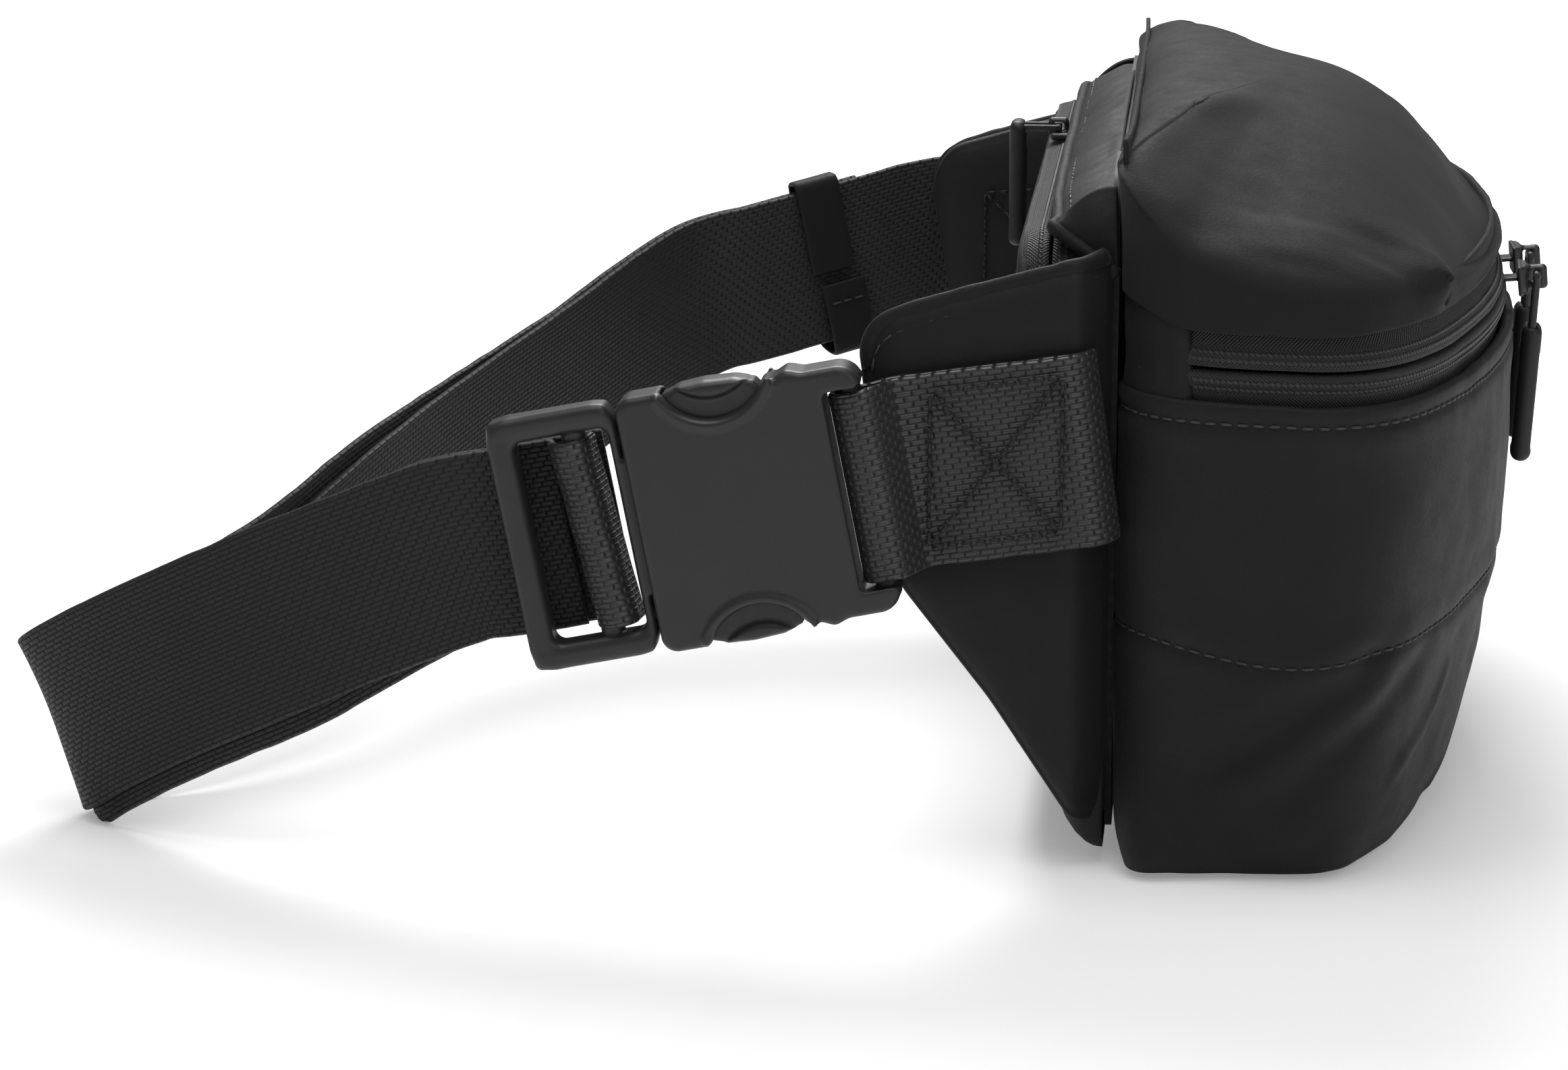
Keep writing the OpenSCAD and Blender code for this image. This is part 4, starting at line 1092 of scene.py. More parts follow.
# linings: thin sheets inside the lid and the main compartment
for nm, t_in, rows_sel, body, node in (("lid_lining_cloth", 3.6, None, "lid", "lid_lining"),):
    sel = np.arange(n_hem + 5, LID0.shape[1])
    P = LID0[::2][:, sel] - LN[::2][:, sel] * t_in
    P = P + LN[::2][:, sel] * (0.7 * fbm(P, 24, 91, 3))[..., None]
    P[..., 1] = np.minimum(P[..., 1], -2.2)
    m_ = P.shape[1]
    F = quads(P.shape[0], m_, wrap_n=True).tolist() + [[i * m_ + m_ - 1 for i in range(P.shape[0])]]
    o = make(nm, P.reshape(-1, 3), F, LIN, body, "lining", replaces=(node,))
    solidify(o, 0.35)
s_c = np.linspace(-H, H, 300, endpoint=False)
zz = np.r_[4.6, 5.2, np.linspace(7, 92, 46), 93.5]
A, Z = np.meshgrid(s_c, zz, indexing="ij")
_, I = np.meshgrid(s_c, np.r_[9.0, 5.0, np.full(47, 3.6)], indexing="ij")
q, nq = outline(A, Z, I)
P = np.concatenate([q, Z[..., None]], -1)
N = np.concatenate([nq, 0 * Z[..., None]], -1)
P = lean(P - N * (0.9 + 0.8 * fbm(P, 20, 93, 3))[..., None])
m_ = P.shape[1]
F = quads(len(s_c), m_, wrap_n=True).tolist() + [[i * m_ for i in range(len(s_c))][::-1]]
o = make("body_lining_cloth", P.reshape(-1, 3), F, LIN, "bag", "lining", replaces=("body_lining",))
solidify(o, 0.35)

# ------------------------------------------------------------------ rear pocket
# path round the pocket's top in the XZ plane: up the near side, along the top, down the far side


def rim_path(w, z_top, r, z_end, n_arc=22, n_line=160):
    a = np.linspace(math.pi, math.pi / 2, n_arc)
    left = [[-w, z] for z in np.linspace(z_end, z_top - r, 18, endpoint=False)]
    arc = [[-w + r + r * math.cos(t), z_top - r + r * math.sin(t)] for t in a]
    pts = left + arc
    mid = [[x, z_top] for x in np.linspace(-w + r, w - r, n_line)[1:-1]]
    right = [[-x, z] for x, z in pts[::-1]]
    return resample(np.array(pts + mid + right), 1.1)[0]


def rim_sheet(prof, w, z_top, r, z_end, drop=0.0):
    """Sweeps a (y, outward) profile round the rim path: grid of points and (u, v)."""
    path = rim_path(w, z_top, r, z_end)
    T = unit(np.gradient(path, axis=0))
    N = np.stack([-T[:, 1], T[:, 0]], 1)
    prof = np.asarray(prof, float)
    P = np.zeros((len(path), len(prof), 3))
    P[..., 0] = path[:, None, 0] + N[:, None, 0] * prof[None, :, 1]
    P[..., 2] = path[:, None, 1] + N[:, None, 1] * prof[None, :, 1]
    P[..., 1] = prof[None, :, 0]
    L = np.r_[0, np.cumsum(np.linalg.norm(np.diff(path, axis=0), axis=1))]
    V = np.r_[0, np.cumsum(np.linalg.norm(np.diff(prof, axis=0), axis=1))]
    uv = np.stack(np.broadcast_arrays(L[:, None], V[None, :]), -1)
    return P, uv, path, N


# gusset: soft side of the pocket all the way round, open at the top
gp = []
w_, h0, h1, r_ = 107.6, 12.5, 111.0, 13
for t in np.linspace(0, 1, 40):
    gp.append([-w_, lerp(h1, h0 + r_, t)])
for t in np.linspace(0, 1, 16)[1:]:
    gp.append([-w_ + r_ - r_ * math.cos(t * math.pi / 2), h0 + r_ - r_ * math.sin(t * math.pi / 2)])
gp = np.array(gp)
gp = np.concatenate([gp, gp[::-1] * np.array([-1, 1])])
gp, gl = resample(gp, 2.0)
T = unit(np.gradient(gp, axis=0))
N = np.stack([T[:, 1], -T[:, 0]], 1)
prof_y = np.array([1.9, 2.6, 3.6, 5, 7, 9, 11, 12.6, 13.6, 14.2])
P = np.zeros((len(gp), len(prof_y), 3))
puff = 0.9 * np.sin(np.clip((prof_y - 2) / 12, 0, 1) * math.pi)
P[..., 0] = gp[:, None, 0] + N[:, None, 0] * puff[None]
P[..., 1] = prof_y[None]
P[..., 2] = gp[:, None, 1] + N[:, None, 1] * puff[None]
nz = np.zeros_like(P)
nz[..., 0], nz[..., 2] = N[:, None, 0], N[:, None, 1]
P = P + nz * (0.6 * fbm(P, 16, 101, 3))[..., None]
P[..., 2] += np.interp(P[..., 1], [2, 3.4, 6, 8.7, 13.8], [-11.2, -10.6, -8.6, -5.0, 5.5]) * (1 - sstep(14, 46, P[..., 2]))
P[..., 0] *= 1 + 0.055 * (1 - sstep(4, 24, P[..., 2]))
o = make("rear_gusset_cloth", P.reshape(-1, 3), quads(len(gp), len(prof_y)), FAB_DARK, "bag", "coated_fabric", replaces=("rear_gusset",))
solidify(o, 0.9, offset=0)

# zip tapes of the rear pocket follow the corner of the back panel down at both ends
tapeF = [(3.4, -0.6), (5.0, -0.2), (7.0, 0.1), (9.0, 0.35), (10.8, 0.6), (12.2, 0.7), (13.0, 0.5), (13.5, -0.1), (13.6, -1.0)]
tapeR = [(14.2, -1.0), (14.3, -0.1), (14.8, 0.5), (15.6, 0.7), (16.8, 0.5), (18.2, 0.2), (19.4, -0.2)]
for nm, pr, node in (("rear_zip_tape_front", tapeF, "rear_zip_front_tape"), ("rear_zip_tape_back", tapeR, "rear_zip_rear_tape")):
    pr = smooth_poly([(a, b, 0) for a, b in pr], 3)[:, :2]
    P, uv, path, N = rim_sheet(pr, 109.0, 125.4, 15.5, 101.0)
    P[..., 1] += 0.15 * vnoise(P * np.array([1, 0, 1]), 9, 7)
    o = make(nm, P.reshape(-1, 3), quads(P.shape[0], P.shape[1], flip=False), TAPE, "bag", "zip_tape", uv=uv.reshape(-1, 2), replaces=(node,))
    solidify(o, 0.6)
parts = []
path = rim_path(109.0, 125.4, 15.5, 101.0)
T2 = unit(np.gradient(path, axis=0))
N2 = np.stack([-T2[:, 1], T2[:, 0]], 1)
L = np.r_[0, np.cumsum(np.linalg.norm(np.diff(path, axis=0), axis=1))]
at = np.arange(2, L[-1] - 2, 1.25)
for y, up, w in ((12.0, 0.72, 0.85), (10.7, 0.62, 0.85), (15.9, 0.72, 0.85)):
    c = np.stack([np.interp(at, L, path[:, i]) for i in (0, 1)], 1)
    nn = unit(np.stack([np.interp(at, L, N2[:, i]) for i in (0, 1)], 1))
    tg = unit(np.stack([np.interp(at, L, T2[:, i]) for i in (0, 1)], 1))
    O = np.c_[c[:, 0] + nn[:, 0] * up, np.full(len(at), y), c[:, 1] + nn[:, 1] * up]
    N3 = np.c_[nn[:, 0], np.zeros(len(at)), nn[:, 1]]
    T3 = unit(np.c_[tg[:, 0], np.full(len(at), 0.35), tg[:, 1]])
    tv, tf = knot_template(1.35, w, 0.24)
    parts.append(stamp(tv, tf, O, T3, N3))
V, F = merge(parts)
make("rear_zip_chain_stitch", V, F, THR, "bag", "thread")
x_c = np.linspace(-94, 94, int(188 / 0.33))
parts = []
for y, ph in ((12.6, 0), (15.2, math.pi)):
    a = x_c / 1.35 * 2 * math.pi + ph
    V, F = tube(np.c_[x_c, y + 0.85 * np.cos(a), 124.3 + 0.6 * np.sin(a)], 0.28, 5, up=(0, 1.0, 0))
    parts.append((V, F))
V, F = merge(parts)
make("rear_zip_coils", V, F, COIL, "bag", "zip_coil", replaces=("rear_zip_coil",))

# flap over the rear zip: from the hinge seam down to a piped edge, wrapped down at both ends
flap_cols = []
for t in np.linspace(-1, 1, 260):
    a = abs(t)
    x = 101.5 * np.sign(t) * (1 - (1 - min(a / 1.0, 1)) ** 1.0)
    flap_cols.append(x)
xs_f = np.array(flap_cols)


def flap_edge(x):
    """Lower edge of the flap: (y, z) at place x along it."""
    a = np.abs(x)
    y = 12.6 - 0.6 * sstep(80, 97, a)
    z = 131.6 - 1.6 * sstep(84, 98, a) + 0.5 * vnoise(np.stack([x, 0 * x, 0 * x], -1), 15, 3)
    return y, z


rowt = np.linspace(0, 1, 22)
P = np.zeros((len(xs_f), len(rowt), 3))
ye, ze = flap_edge(xs_f)
for j, t in enumerate(rowt):
    y0_, z0_ = 1.0, 138.9
    y = lerp(y0_, ye, t)
    z = lerp(z0_, ze, t) + 1.2 * math.sin(math.pi * t) ** 0.8
    P[:, j] = np.c_[xs_f, y, z + 0.2 * (1 - t) - 5.0 * (np.abs(xs_f) / 101.5) ** 2.2 * (1 - 0.75 * t)]
fr = fbm(np.stack([P[..., 0] + 0.6 * P[..., 1], P[..., 1] * 0.35, 0 * P[..., 0]], -1), 9, 140, 3)
P[..., 2] += 0.55 * fr * sstep(0.05, 0.3, rowt)[None] * (1 - sstep(0.85, 1, rowt)[None] * 0.6)
o = make("rear_flap_cloth", P.reshape(-1, 3), quads(len(xs_f), len(rowt), flip=False), FAB, "bag", "coated_fabric", replaces=("rear_flap",))
solidify(o, 1.0)
edge = P[:, -1] + np.array([0, 0.5, -0.5])
# end panels that drop from the flap's ends to the corner of the main compartment
parts = []
ends_edge = []
for sgn in (-1, 1):
    A, B_ = np.meshgrid(np.linspace(0, 1, 26), np.linspace(0, 1, 26), indexing="ij")
    ye1, ze1 = flap_edge(np.array([101.5]))
    top0, top1 = np.array([101.5, 1.0, 135.5]), np.array([101.5, float(ye1[0]), float(ze1[0])])
    bot0, bot1 = np.array([107.2, 0.6, 119.6]), np.array([103.6, 13.4, 128.2])
    Pq = (top0 * (1 - A[..., None]) + top1 * A[..., None]) * (1 - B_[..., None]) + (bot0 * (1 - A[..., None]) + bot1 * A[..., None]) * B_[..., None]
    Pq[..., 2] += 1.9 * np.sin(np.pi * A) ** 0.8 * (1 - B_) - 1.25 * A * (1 - B_)
    Pq[..., 0] += 2.2 * np.sin(np.pi * np.clip(B_, 0, 1)) * (0.35 + 0.65 * (1 - A)) + 0.35 * fbm(Pq, 9, 150, 3) * np.sin(np.pi * B_)
    Pq[..., 0] *= sgn
    parts.append((Pq.reshape(-1, 3), quads(26, 26, flip=sgn > 0)))
    ends_edge.append(Pq[:, -1])
V, F = merge(parts)
o = make("rear_flap_ends", V, F, FAB, "bag", "coated_fabric")
solidify(o, 1.0)
pipe = np.concatenate([ends_edge[0] + np.array([-0.3, 0.0, -0.6]), edge[2:-2], ends_edge[1][::-1] + np.array([0.3, 0.0, -0.6])])
pipe = resample(smooth_poly(resample(pipe, 4.0)[0], 4), 0.8)[0]
V, F = tube(pipe, 1.35 + 0.06 * vnoise(pipe, 5, 3), 14)
make("flap_piping", V, F, FAB, "bag", "coated_fabric")
off = resample(pipe + np.array([0, -2.3, 1.2]), 0.8)[0]
sel = slice(22, -22)
V, F = stitch_line(off[sel] + np.array([0, 0, 0.6]), np.tile([0, 0.35, 0.94], (len(off[sel]), 1)), 2.9, 0.5, 0.26, 0.15, 0.0, 0.03, 5)
make("flap_stitching", V, F, THR_L, "bag", "thread")

# back panel: padded, crowned, piped all round


def rrect_ring(w, h, r, cz, n=360):
    pts = []
    for cx_, cz_, a0 in ((w - r, h - r, 0), (-(w - r), h - r, 90), (-(w - r), -(h - r), 180), (w - r, -(h - r), 270)):
        for a in np.linspace(a0, a0 + 90, 24):
            pts.append([cx_ + r * math.cos(math.radians(a)), cz + cz_ + r * math.sin(math.radians(a))])
    pts.append(pts[0])
    return resample(np.array(pts), n=n + 1)[0][:-1]


def pillow(name, ring, centre, depth_fn, axis_y, mat, body, slot, replaces, flip=False, rings=26, thick=1.0, seed=0, noise=0.35):
    """Padded panel: rings from the edge of `ring` (x, z or y, z pairs) to its centre, lifted by depth_fn(distance from edge)."""
    n = len(ring)
    grid = []
    f_ = 1 - (np.linspace(0, 1, rings) ** 1.35) * 0.97
    c = np.asarray(centre, float)
    for f in f_:
        q = c + (ring - c) * f
        d = np.linalg.norm(ring - q, axis=1)
        grid.append(np.c_[q, d])
    G = np.array(grid).transpose(1, 0, 2)
    P = axis_y(G[..., 0], G[..., 1], depth_fn(G[..., 2], G[..., 0], G[..., 1]))
    V = P.reshape(-1, 3)
    F = quads(n, rings, wrap_n=True, flip=flip).tolist()
    cap = [i * rings + rings - 1 for i in range(n)]
    F.append(cap if not flip else cap[::-1])
    o = make(name, V, F, mat, body, slot, replaces=replaces)
    return o, P


def pad_ring(w, z0, z1, rt, rb, n=360):
    pts = []
    for cx_, cz_, r, a0 in ((w - rt, z1 - rt, rt, 0), (-(w - rt), z1 - rt, rt, 90), (-(w - rb), z0 + rb, rb, 180), (w - rb, z0 + rb, rb, 270)):
        for a in np.linspace(a0, a0 + 90, 24):
            pts.append([cx_ + r * math.cos(math.radians(a)), cz_ + r * math.sin(math.radians(a))])
    pts.append(pts[0])
    return resample(np.array(pts), n=n + 1)[0][:-1]


ringB = pad_ring(111.0, 16.5, 122.5, 17.0, 40.0)


def back_depth(d, x, z):
    h = 17.6 + 3.4 * (1 - np.exp(-d / 7.0))
    h = h + 0.5 * fbm(np.stack([x, z, 0 * x], -1), 40, 160, 2) * sstep(2, 14, d)
    for zc in (48.0, 84.0):                       # sewn channels across the pad
        h = h - 1.5 * np.exp(-((z - zc) / 2.2) ** 2) * sstep(8, 20, d)
    return h


o, PB = pillow("back_pad_cover", ringB, (0, 66), back_depth, lambda x, z, h: np.stack([x, h, z], -1), PAD, "bag", "coated_fabric", ("back_panel_cover",), flip=True, rings=40)
solidify(o, 0.9)
BACK_PAD = o
V, F = tube(np.c_[ringB[:, 0], np.full(len(ringB), 18.9), ringB[:, 1]] * np.array([1.004, 1, 1]), 1.55, 14, closed=True)
make("back_piping", V, F, FAB, "bag", "coated_fabric", replaces=("rear_piping",))
parts = []
for zc in (48.0, 84.0):
    x = np.arange(-99, 99, 0.9)
    pts = np.c_[x, back_depth(111 - np.abs(x), x, np.full_like(x, zc)), np.full_like(x, zc)]
    parts.append(stitch_line(pts, np.tile([0, 1.0, 0], (len(x), 1)), 3.2, 0.6, 0.3, 0.18, 0.0, 0.02, 9))
V, F = merge(parts)
make("back_pad_stitching", V, F, THR, "bag", "thread")

# ------------------------------------------------------------------ hip wings
WING = np.array([[2.2, 9.6], [7.7, 10.9], [24, 35.4], [42, 58.4], [46, 80], [49.5, 101], [48.7, 107], [45, 111.6], [24, 117.6], [2.2, 123.2]], float)


def smooth_ring(pts, sigma, n=420):
    p = resample(np.vstack([pts, pts[:1]]), n=n + 1)[0][:-1]
    step = np.linalg.norm(p[1] - p[0])
    k = np.exp(-0.5 * (np.arange(-40, 41) * step / sigma) ** 2)
    k /= k.sum()
    q = np.concatenate([p[-40:], p, p[:40]])
    return np.stack([np.convolve(q[:, i], k, "valid") for i in (0, 1)], 1)


wring = smooth_ring(WING, 1.7)
WC = np.array([20.0, 84.0])


def wing_x(y):
    """How far the wing's front edge turns in behind the body's corner."""
    return 7.5 * (1 - sstep(0.8, 9.5, y)) ** 1.3


def wing_mesh(sgn, seed):
    rings_o, rings = 30, []
    fs = (np.linspace(0.03, 1, rings_o)) ** 0.75
    n = len(wring)
    anchor_zone = lambda y, z: np.exp(-((z - 84) / 24.0) ** 6) if sgn < 0 else np.exp(-((z - 88) / 24.0) ** 6)
    for f in fs:                                       # outer face, centre to edge
        q = WC + (wring - WC) * f
        d = np.linalg.norm(wring - q, axis=1)
        bulge = 1.5 * (1 - np.exp(-d / 6.0)) * (1 - anchor_zone(q[:, 0], q[:, 1]))
        noise = 0.5 * fbm(np.c_[q, np.zeros(n)], 22, seed, 3) * sstep(1, 10, d) * (1 - anchor_zone(q[:, 0], q[:, 1]))
        x = 115.6 + 1.35 * (1 - np.exp(-d / 1.6)) + bulge + noise
        rings.append(np.c_[x, q])
    c = wring.mean(0)
    tn = unit(np.roll(wring, -1, 0) - np.roll(wring, 1, 0))
    on = np.stack([tn[:, 1], -tn[:, 0]], 1)
    if ((wring - c) * on).sum() < 0:
        on = -on
    for a in np.linspace(20, 160, 8):                  # rounded bound edge
        r = math.radians(a)
        q = wring + on * 0.9 * math.sin(r)
        rings.append(np.c_[np.full(n, 114.0 + 1.7 * math.cos(r)), q])
    for f in fs[::-1]:                                 # inner face
        q = WC + (wring - WC) * f
        d = np.linalg.norm(wring - q, axis=1)
        x = 112.3 - 1.3 * (1 - np.exp(-d / 2.2)) - 1.3 * (1 - np.exp(-d / 9.0)) + 0.35 * fbm(np.c_[q, np.zeros(n)], 24, seed + 5, 3) * sstep(1, 10, d)
        rings.append(np.c_[x, q])
    R = np.array(rings).transpose(1, 0, 2)
    R[..., 0] -= wing_x(R[..., 1])
    R[..., 0] *= sgn
    m = R.shape[1]
    F = quads(n, m, wrap_n=True, flip=sgn > 0).tolist()
    F += [[i * m for i in range(n)] if sgn > 0 else [i * m for i in range(n)][::-1], [i * m + m - 1 for i in range(n)][::-1] if sgn > 0 else [i * m + m - 1 for i in range(n)]]
    return R, F


for sgn, nm, seed in ((-1, "near", 200), (1, "far", 230)):
    R, F = wing_mesh(sgn, seed)
    o = make(f"wing_{nm}_cloth", R.reshape(-1, 3), F, FAB_DARK if sgn > 0 else FAB, "bag", "coated_fabric", replaces=(f"wing_{nm}_cover", f"wing_{nm}_lining"))
    foam = []
    for f_, x_ in ((0.05, 114.1), (0.5, 114.1), (0.86, 114.1), (0.9, 113.6), (0.86, 113.1), (0.5, 113.1), (0.05, 113.1)):
        q_ = WC + (wring[::4] - WC) * f_
        foam.append(np.c_[sgn * (x_ - wing_x(q_[:, 0])), q_])
    foam = np.array(foam).transpose(1, 0, 2)
    n_, m_ = foam.shape[:2]
    F = quads(n_, m_, wrap_n=True, flip=sgn > 0).tolist()
    F += [[i * m_ for i in range(n_)], [i * m_ + m_ - 1 for i in range(n_)][::-1]]
    make(f"wing_{nm}_pad_core", foam.reshape(-1, 3), F, FOAM, "bag", "foam", replaces=(f"wing_{nm}_foam",))
    # folded and sewn top edge
    top = smooth_poly([(3.0, 122.6), (14, 119.9), (24, 117.3), (36, 113.9), (44.0, 111.0), (47.4, 108.2), (48.6, 104.5), (48.4, 101)], 8)
    top = resample(top, 0.7)[0]
    wob = 0.22 * vnoise(np.c_[np.arange(len(top)) * 0.7, np.zeros((len(top), 2))], 3.4, seed) + 0.15 * vnoise(np.c_[np.arange(len(top)) * 0.7, np.zeros((len(top), 2))], 9, seed + 1)
    path = np.c_[sgn * (115.2 - wing_x(top[:, 0]) + 0.3 * wob), top[:, 0], top[:, 1] + 0.2 + 0.5 * wob]
    V, Fb = tube(path, 1.55 + 0.35 * wob, 12, ellipse=(1.15, 0.85), up=(1.0, 0, 0))
    make(f"wing_{nm}_welt", V, Fb, FAB, "bag", "coated_fabric")
    low = top + np.array([-0.9, -2.5])
    pts = np.c_[sgn * (116.9 - wing_x(low[:, 0])), low]
    V, Fb = stitch_line(pts[3:-3], np.tile([sgn * 1.0, 0, 0.1], (len(low) - 6, 1)), 3.0, 0.6, 0.24, 0.12, 0.0, 0.03, seed)
    make(f"wing_{nm}_edge_stitching", V, Fb, THR_L, "bag", "thread")

# ------------------------------------------------------------------ webbing
BK = np.array([-124.0, 45.5, 80.3])
SLOPE = math.radians(11.2)


def bk_world(P):
    """Buckle axes (x outwards negative, u along, v across) to the row frame."""
    P = np.asarray(P, float)
    x, u, v = P[..., 0], P[..., 1], P[..., 2]
    return np.stack([BK[0] + x, BK[1] + u * math.cos(SLOPE) + v * math.sin(SLOPE), BK[2] - u * math.sin(SLOPE) + v * math.cos(SLOPE)], -1)


def wdir(lean, T):
    v = np.stack([-np.tan(np.radians(lean[:, 0])), np.tan(np.radians(lean[:, 1])), np.ones(len(lean))], 1)
    return unit(v - T * (v * T).sum(1)[:, None])


def section(w, t, nw=18, edge=0.16):
    """Cross-section of webbing: (across, through) points round it, with full rounded selvedges."""
    a = np.linspace(-w / 2 + 0.7, w / 2 - 0.7, nw)
    thick = t / 2 * (1 + edge * np.exp(-((np.abs(a) - (w / 2 - 1.4)) / 0.9) ** 2))
    right = [(w / 2 - 0.7 + 0.7 * math.sin(r), t / 2 * 1.05 * math.cos(r)) for r in np.radians([30, 60, 90, 120, 150])]
    top = list(zip(a, thick))
    bottom = [(x, -y) for x, y in top[::-1]]
    left = [(-x, -y) for x, y in right]
    return np.array(top + right + bottom + left)


def ribbon(name, pts, lean, mat, w=38.0, t=1.5, step=1.0, shift=None, shape=None, u0=0.0, wobble=0.12, seed=0, off=0.0, **kw):
    """Webbing along a path of points with a lean per point. shift moves it across its own width, shape(u) gives extra lift."""
    path, L = resample(np.c_[pts, lean] if False else np.asarray(pts, float), step)
    L0 = np.r_[0, np.cumsum(np.linalg.norm(np.diff(np.asarray(pts, float), axis=0), axis=1))]
    ln = np.stack([np.interp(L, L0, np.asarray(lean, float)[:, k]) for k in (0, 1)], 1)
    T = unit(np.gradient(path, axis=0))
    W = wdir(ln, T)
    N = np.cross(T, W)
    sec = section(w, t)
    off_a = np.broadcast_to(np.asarray(off(L) if callable(off) else off, float), L.shape)
    sh = np.broadcast_to(np.asarray(shift(L) if callable(shift) else (shift or 0.0), float), L.shape)
    c = path + N * off_a[:, None] + W * sh[:, None]
    wv = wobble * vnoise(np.c_[L, np.zeros((len(L), 2))], 25, seed)
    sec_w = sec[None, :, 0] * (1 + 0.0 * L[:, None]) + np.sign(sec[None, :, 0]) * 0.10 * vnoise(np.stack([L[:, None] + 0 * sec[None, :, 0], np.sign(sec[None, :, 0]) + 0 * L[:, None], 0 * L[:, None] * sec[None, :, 0]], -1), 5, seed + 3) * (np.abs(sec[None, :, 0]) > w / 2 - 1.5)
    sec_t = sec[None, :, 1] + 0 * L[:, None]
    if shape is not None:
        sec_t = sec_t + shape(L[:, None], sec[None, :, 0])
    P = c[:, None, :] + W[:, None, :] * sec_w[..., None] + N[:, None, :] * (sec_t + wv[:, None])[..., None]
    m = len(sec)
    u = L + u0
    uv = np.stack([np.broadcast_to(u[:, None], (len(L), m)), np.broadcast_to(sec[None, :, 0] + 19.0, (len(L), m))], -1)
    P[..., 2] = np.maximum(P[..., 2], 0.3)
    V = P.reshape(-1, 3)
    F = quads(len(L), m, wrap_m=True).tolist() + [list(range(m)), [(len(L) - 1) * m + i for i in range(m)][::-1]]
    # make the faces point outwards
    q = P[len(L) // 2]
    f = np.array(F[(len(L) // 2) * m + 4])
    a, b, cc = V[f[0]], V[f[1]], V[f[2]]
    if np.dot(np.cross(b - a, cc - a), V[f].mean(0) - q.mean(0)) < 0:
        F = [g[::-1] for g in F]
    o = make(name, V, F, mat, uv=uv.reshape(-1, 2), **kw)
    return o, dict(path=path, L=L, T=T, W=W, N=N, c=c)


def on_axis(u):
    return [BK[0] + 6.35, BK[1] + u * math.cos(SLOPE), BK[2] - u * math.sin(SLOPE), 0.0, 11.2]


run_a, run_b = np.array([94.5, 104, 77.2]), np.array([118.8, 52, 89.2])
belt_ctl = [on_axis(u) for u in (53, 63, 75, 87)] + [
    [-117.5, 150, 55.4, -1.6, 13.2], [-115, 172, 44.8, -5.0, 14.9], [-108.6, 194, 33.8, -2.8, 17], [-101.5, 209.5, 24.7, -2.3, 17.4],
    [-95.5, 215.5, 19.8, 0.2, 17.6], [-88.5, 214.2, 19.8, 2, 18], [-82, 207, 22.2, 5, 17], [-68, 192, 28.5, 9, 16],
    [-45, 177, 35.7, 14, 15], [-15, 164, 45.1, 18.9, 14], [25, 149.5, 52.6, 21.9, 13], [60, 131, 62.2, 19, 11.8], [81, 117, 70.5, 10, 10]]
belt_ctl += [list(run_a + (run_b - run_a) * t) + [4, 8.5] for t in (0, 0.25, 0.5, 0.75, 1)]
belt_ctl += [[119.4, 42, 90.2, 0.5, 8], [118.8, 32, 90.6, 0, 7.5], [118.6, 20, 90.9, 0, 7], [118.3, 8, 91.2, 0, 6.5], [114.6, 2.4, 91.4, 0, 6.5]]
BP = smooth_poly(belt_ctl, 14)
ctl_at = [14 * i for i in range(len(belt_ctl))]
BL = np.r_[0, np.cumsum(np.linalg.norm(np.diff(BP[:, :3], axis=0), axis=1))]
# the two layers have slipped against each other across their width, away from the buckle and the keeper
sl0, sl1, sl2, sl3 = BL[ctl_at[3]], BL[ctl_at[5]], BL[ctl_at[12]], BL[ctl_at[15]]


def slip(L):
    return sstep(sl0, sl1, L) * (1 - sstep(sl2, sl3, L))


main_o, main_f = ribbon("belt_main_layer", BP[:, :3], BP[:, 3:], WEB, step=0.9, shift=lambda L: -3.4 * slip(L), seed=1, slot="webbing", replaces=("belt_webbing",))
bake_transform(main_o)
i0, i1 = ctl_at[1], ctl_at[20]
TP = BP[i0:i1 + 1]
tail_o, tail_f = ribbon("belt_tail_layer", TP[:, :3], TP[:, 3:], WEB, step=0.9, off=-1.95, shift=lambda L: 0.8 * slip(L + BL[i0]), u0=1.1 + BL[i0], seed=2, body="belt", slot="webbing", replaces=("belt_tail",))
# folded end of the tail, sewn back on itself
k1 = len(tail_f["c"]) - 1
fold_pts, fold_ln = [], []
for j in range(0, 16):
    fold_pts.append(tail_f["c"][k1 - j] - tail_f["N"][k1 - j] * (1.6 + 0.0 * j))
    fold_ln.append([4.0, 8.5])
fold_o, _ = ribbon("belt_tail_fold", np.array(fold_pts), np.array(fold_ln), WEB, w=37.4, t=1.4, step=0.9, seed=5, body="belt", slot="webbing")

# anchor webbing, sewn to the near wing and passed round the bar of the socket
BAR_U = 2.6


def anchor_z(y):
    return np.where(y < 40, 86.3 - (y - 6) * 0.144, BK[2] - (y - BK[1]) * math.tan(SLOPE))


anc = []
for x, y in [(-113.5, 2.6), (-116.3, 4.0), (-117.9, 7.5), (-118.05, 14), (-118.05, 22), (-118.05, 30), (-118.05, 38), (-118.2, 40.6), (BK[0] + 4.4, 44.2), (BK[0] + 3.7, 46.2)]:
    anc.append([x, y, float(anchor_z(np.float64(y))), 0, 8.2 if y < 39 else 11.2])
for a in range(0, 181, 15):
    r = math.radians(a)
    u = BAR_U + 3.5 * math.sin(r)
    anc.append([BK[0] + 3.5 * math.cos(r), BK[1] + u * math.cos(SLOPE), BK[2] - u * math.sin(SLOPE), 0, 11.2])
for x, y in [(BK[0] - 3.3, 46.2), (BK[0] - 2.2, 44.3), (BK[0] + 0.6, 42.3), (-120.7, 40.6), (-120.15, 38.6), (-119.95, 35), (-119.95, 22), (-119.95, 10), (-119.6, 6.5), (-117.6, 3.6), (-114.6, 2.3)]:
    anc.append([x, y, float(anchor_z(np.float64(y))), 0, 8.2 if y < 39 else 11.2])
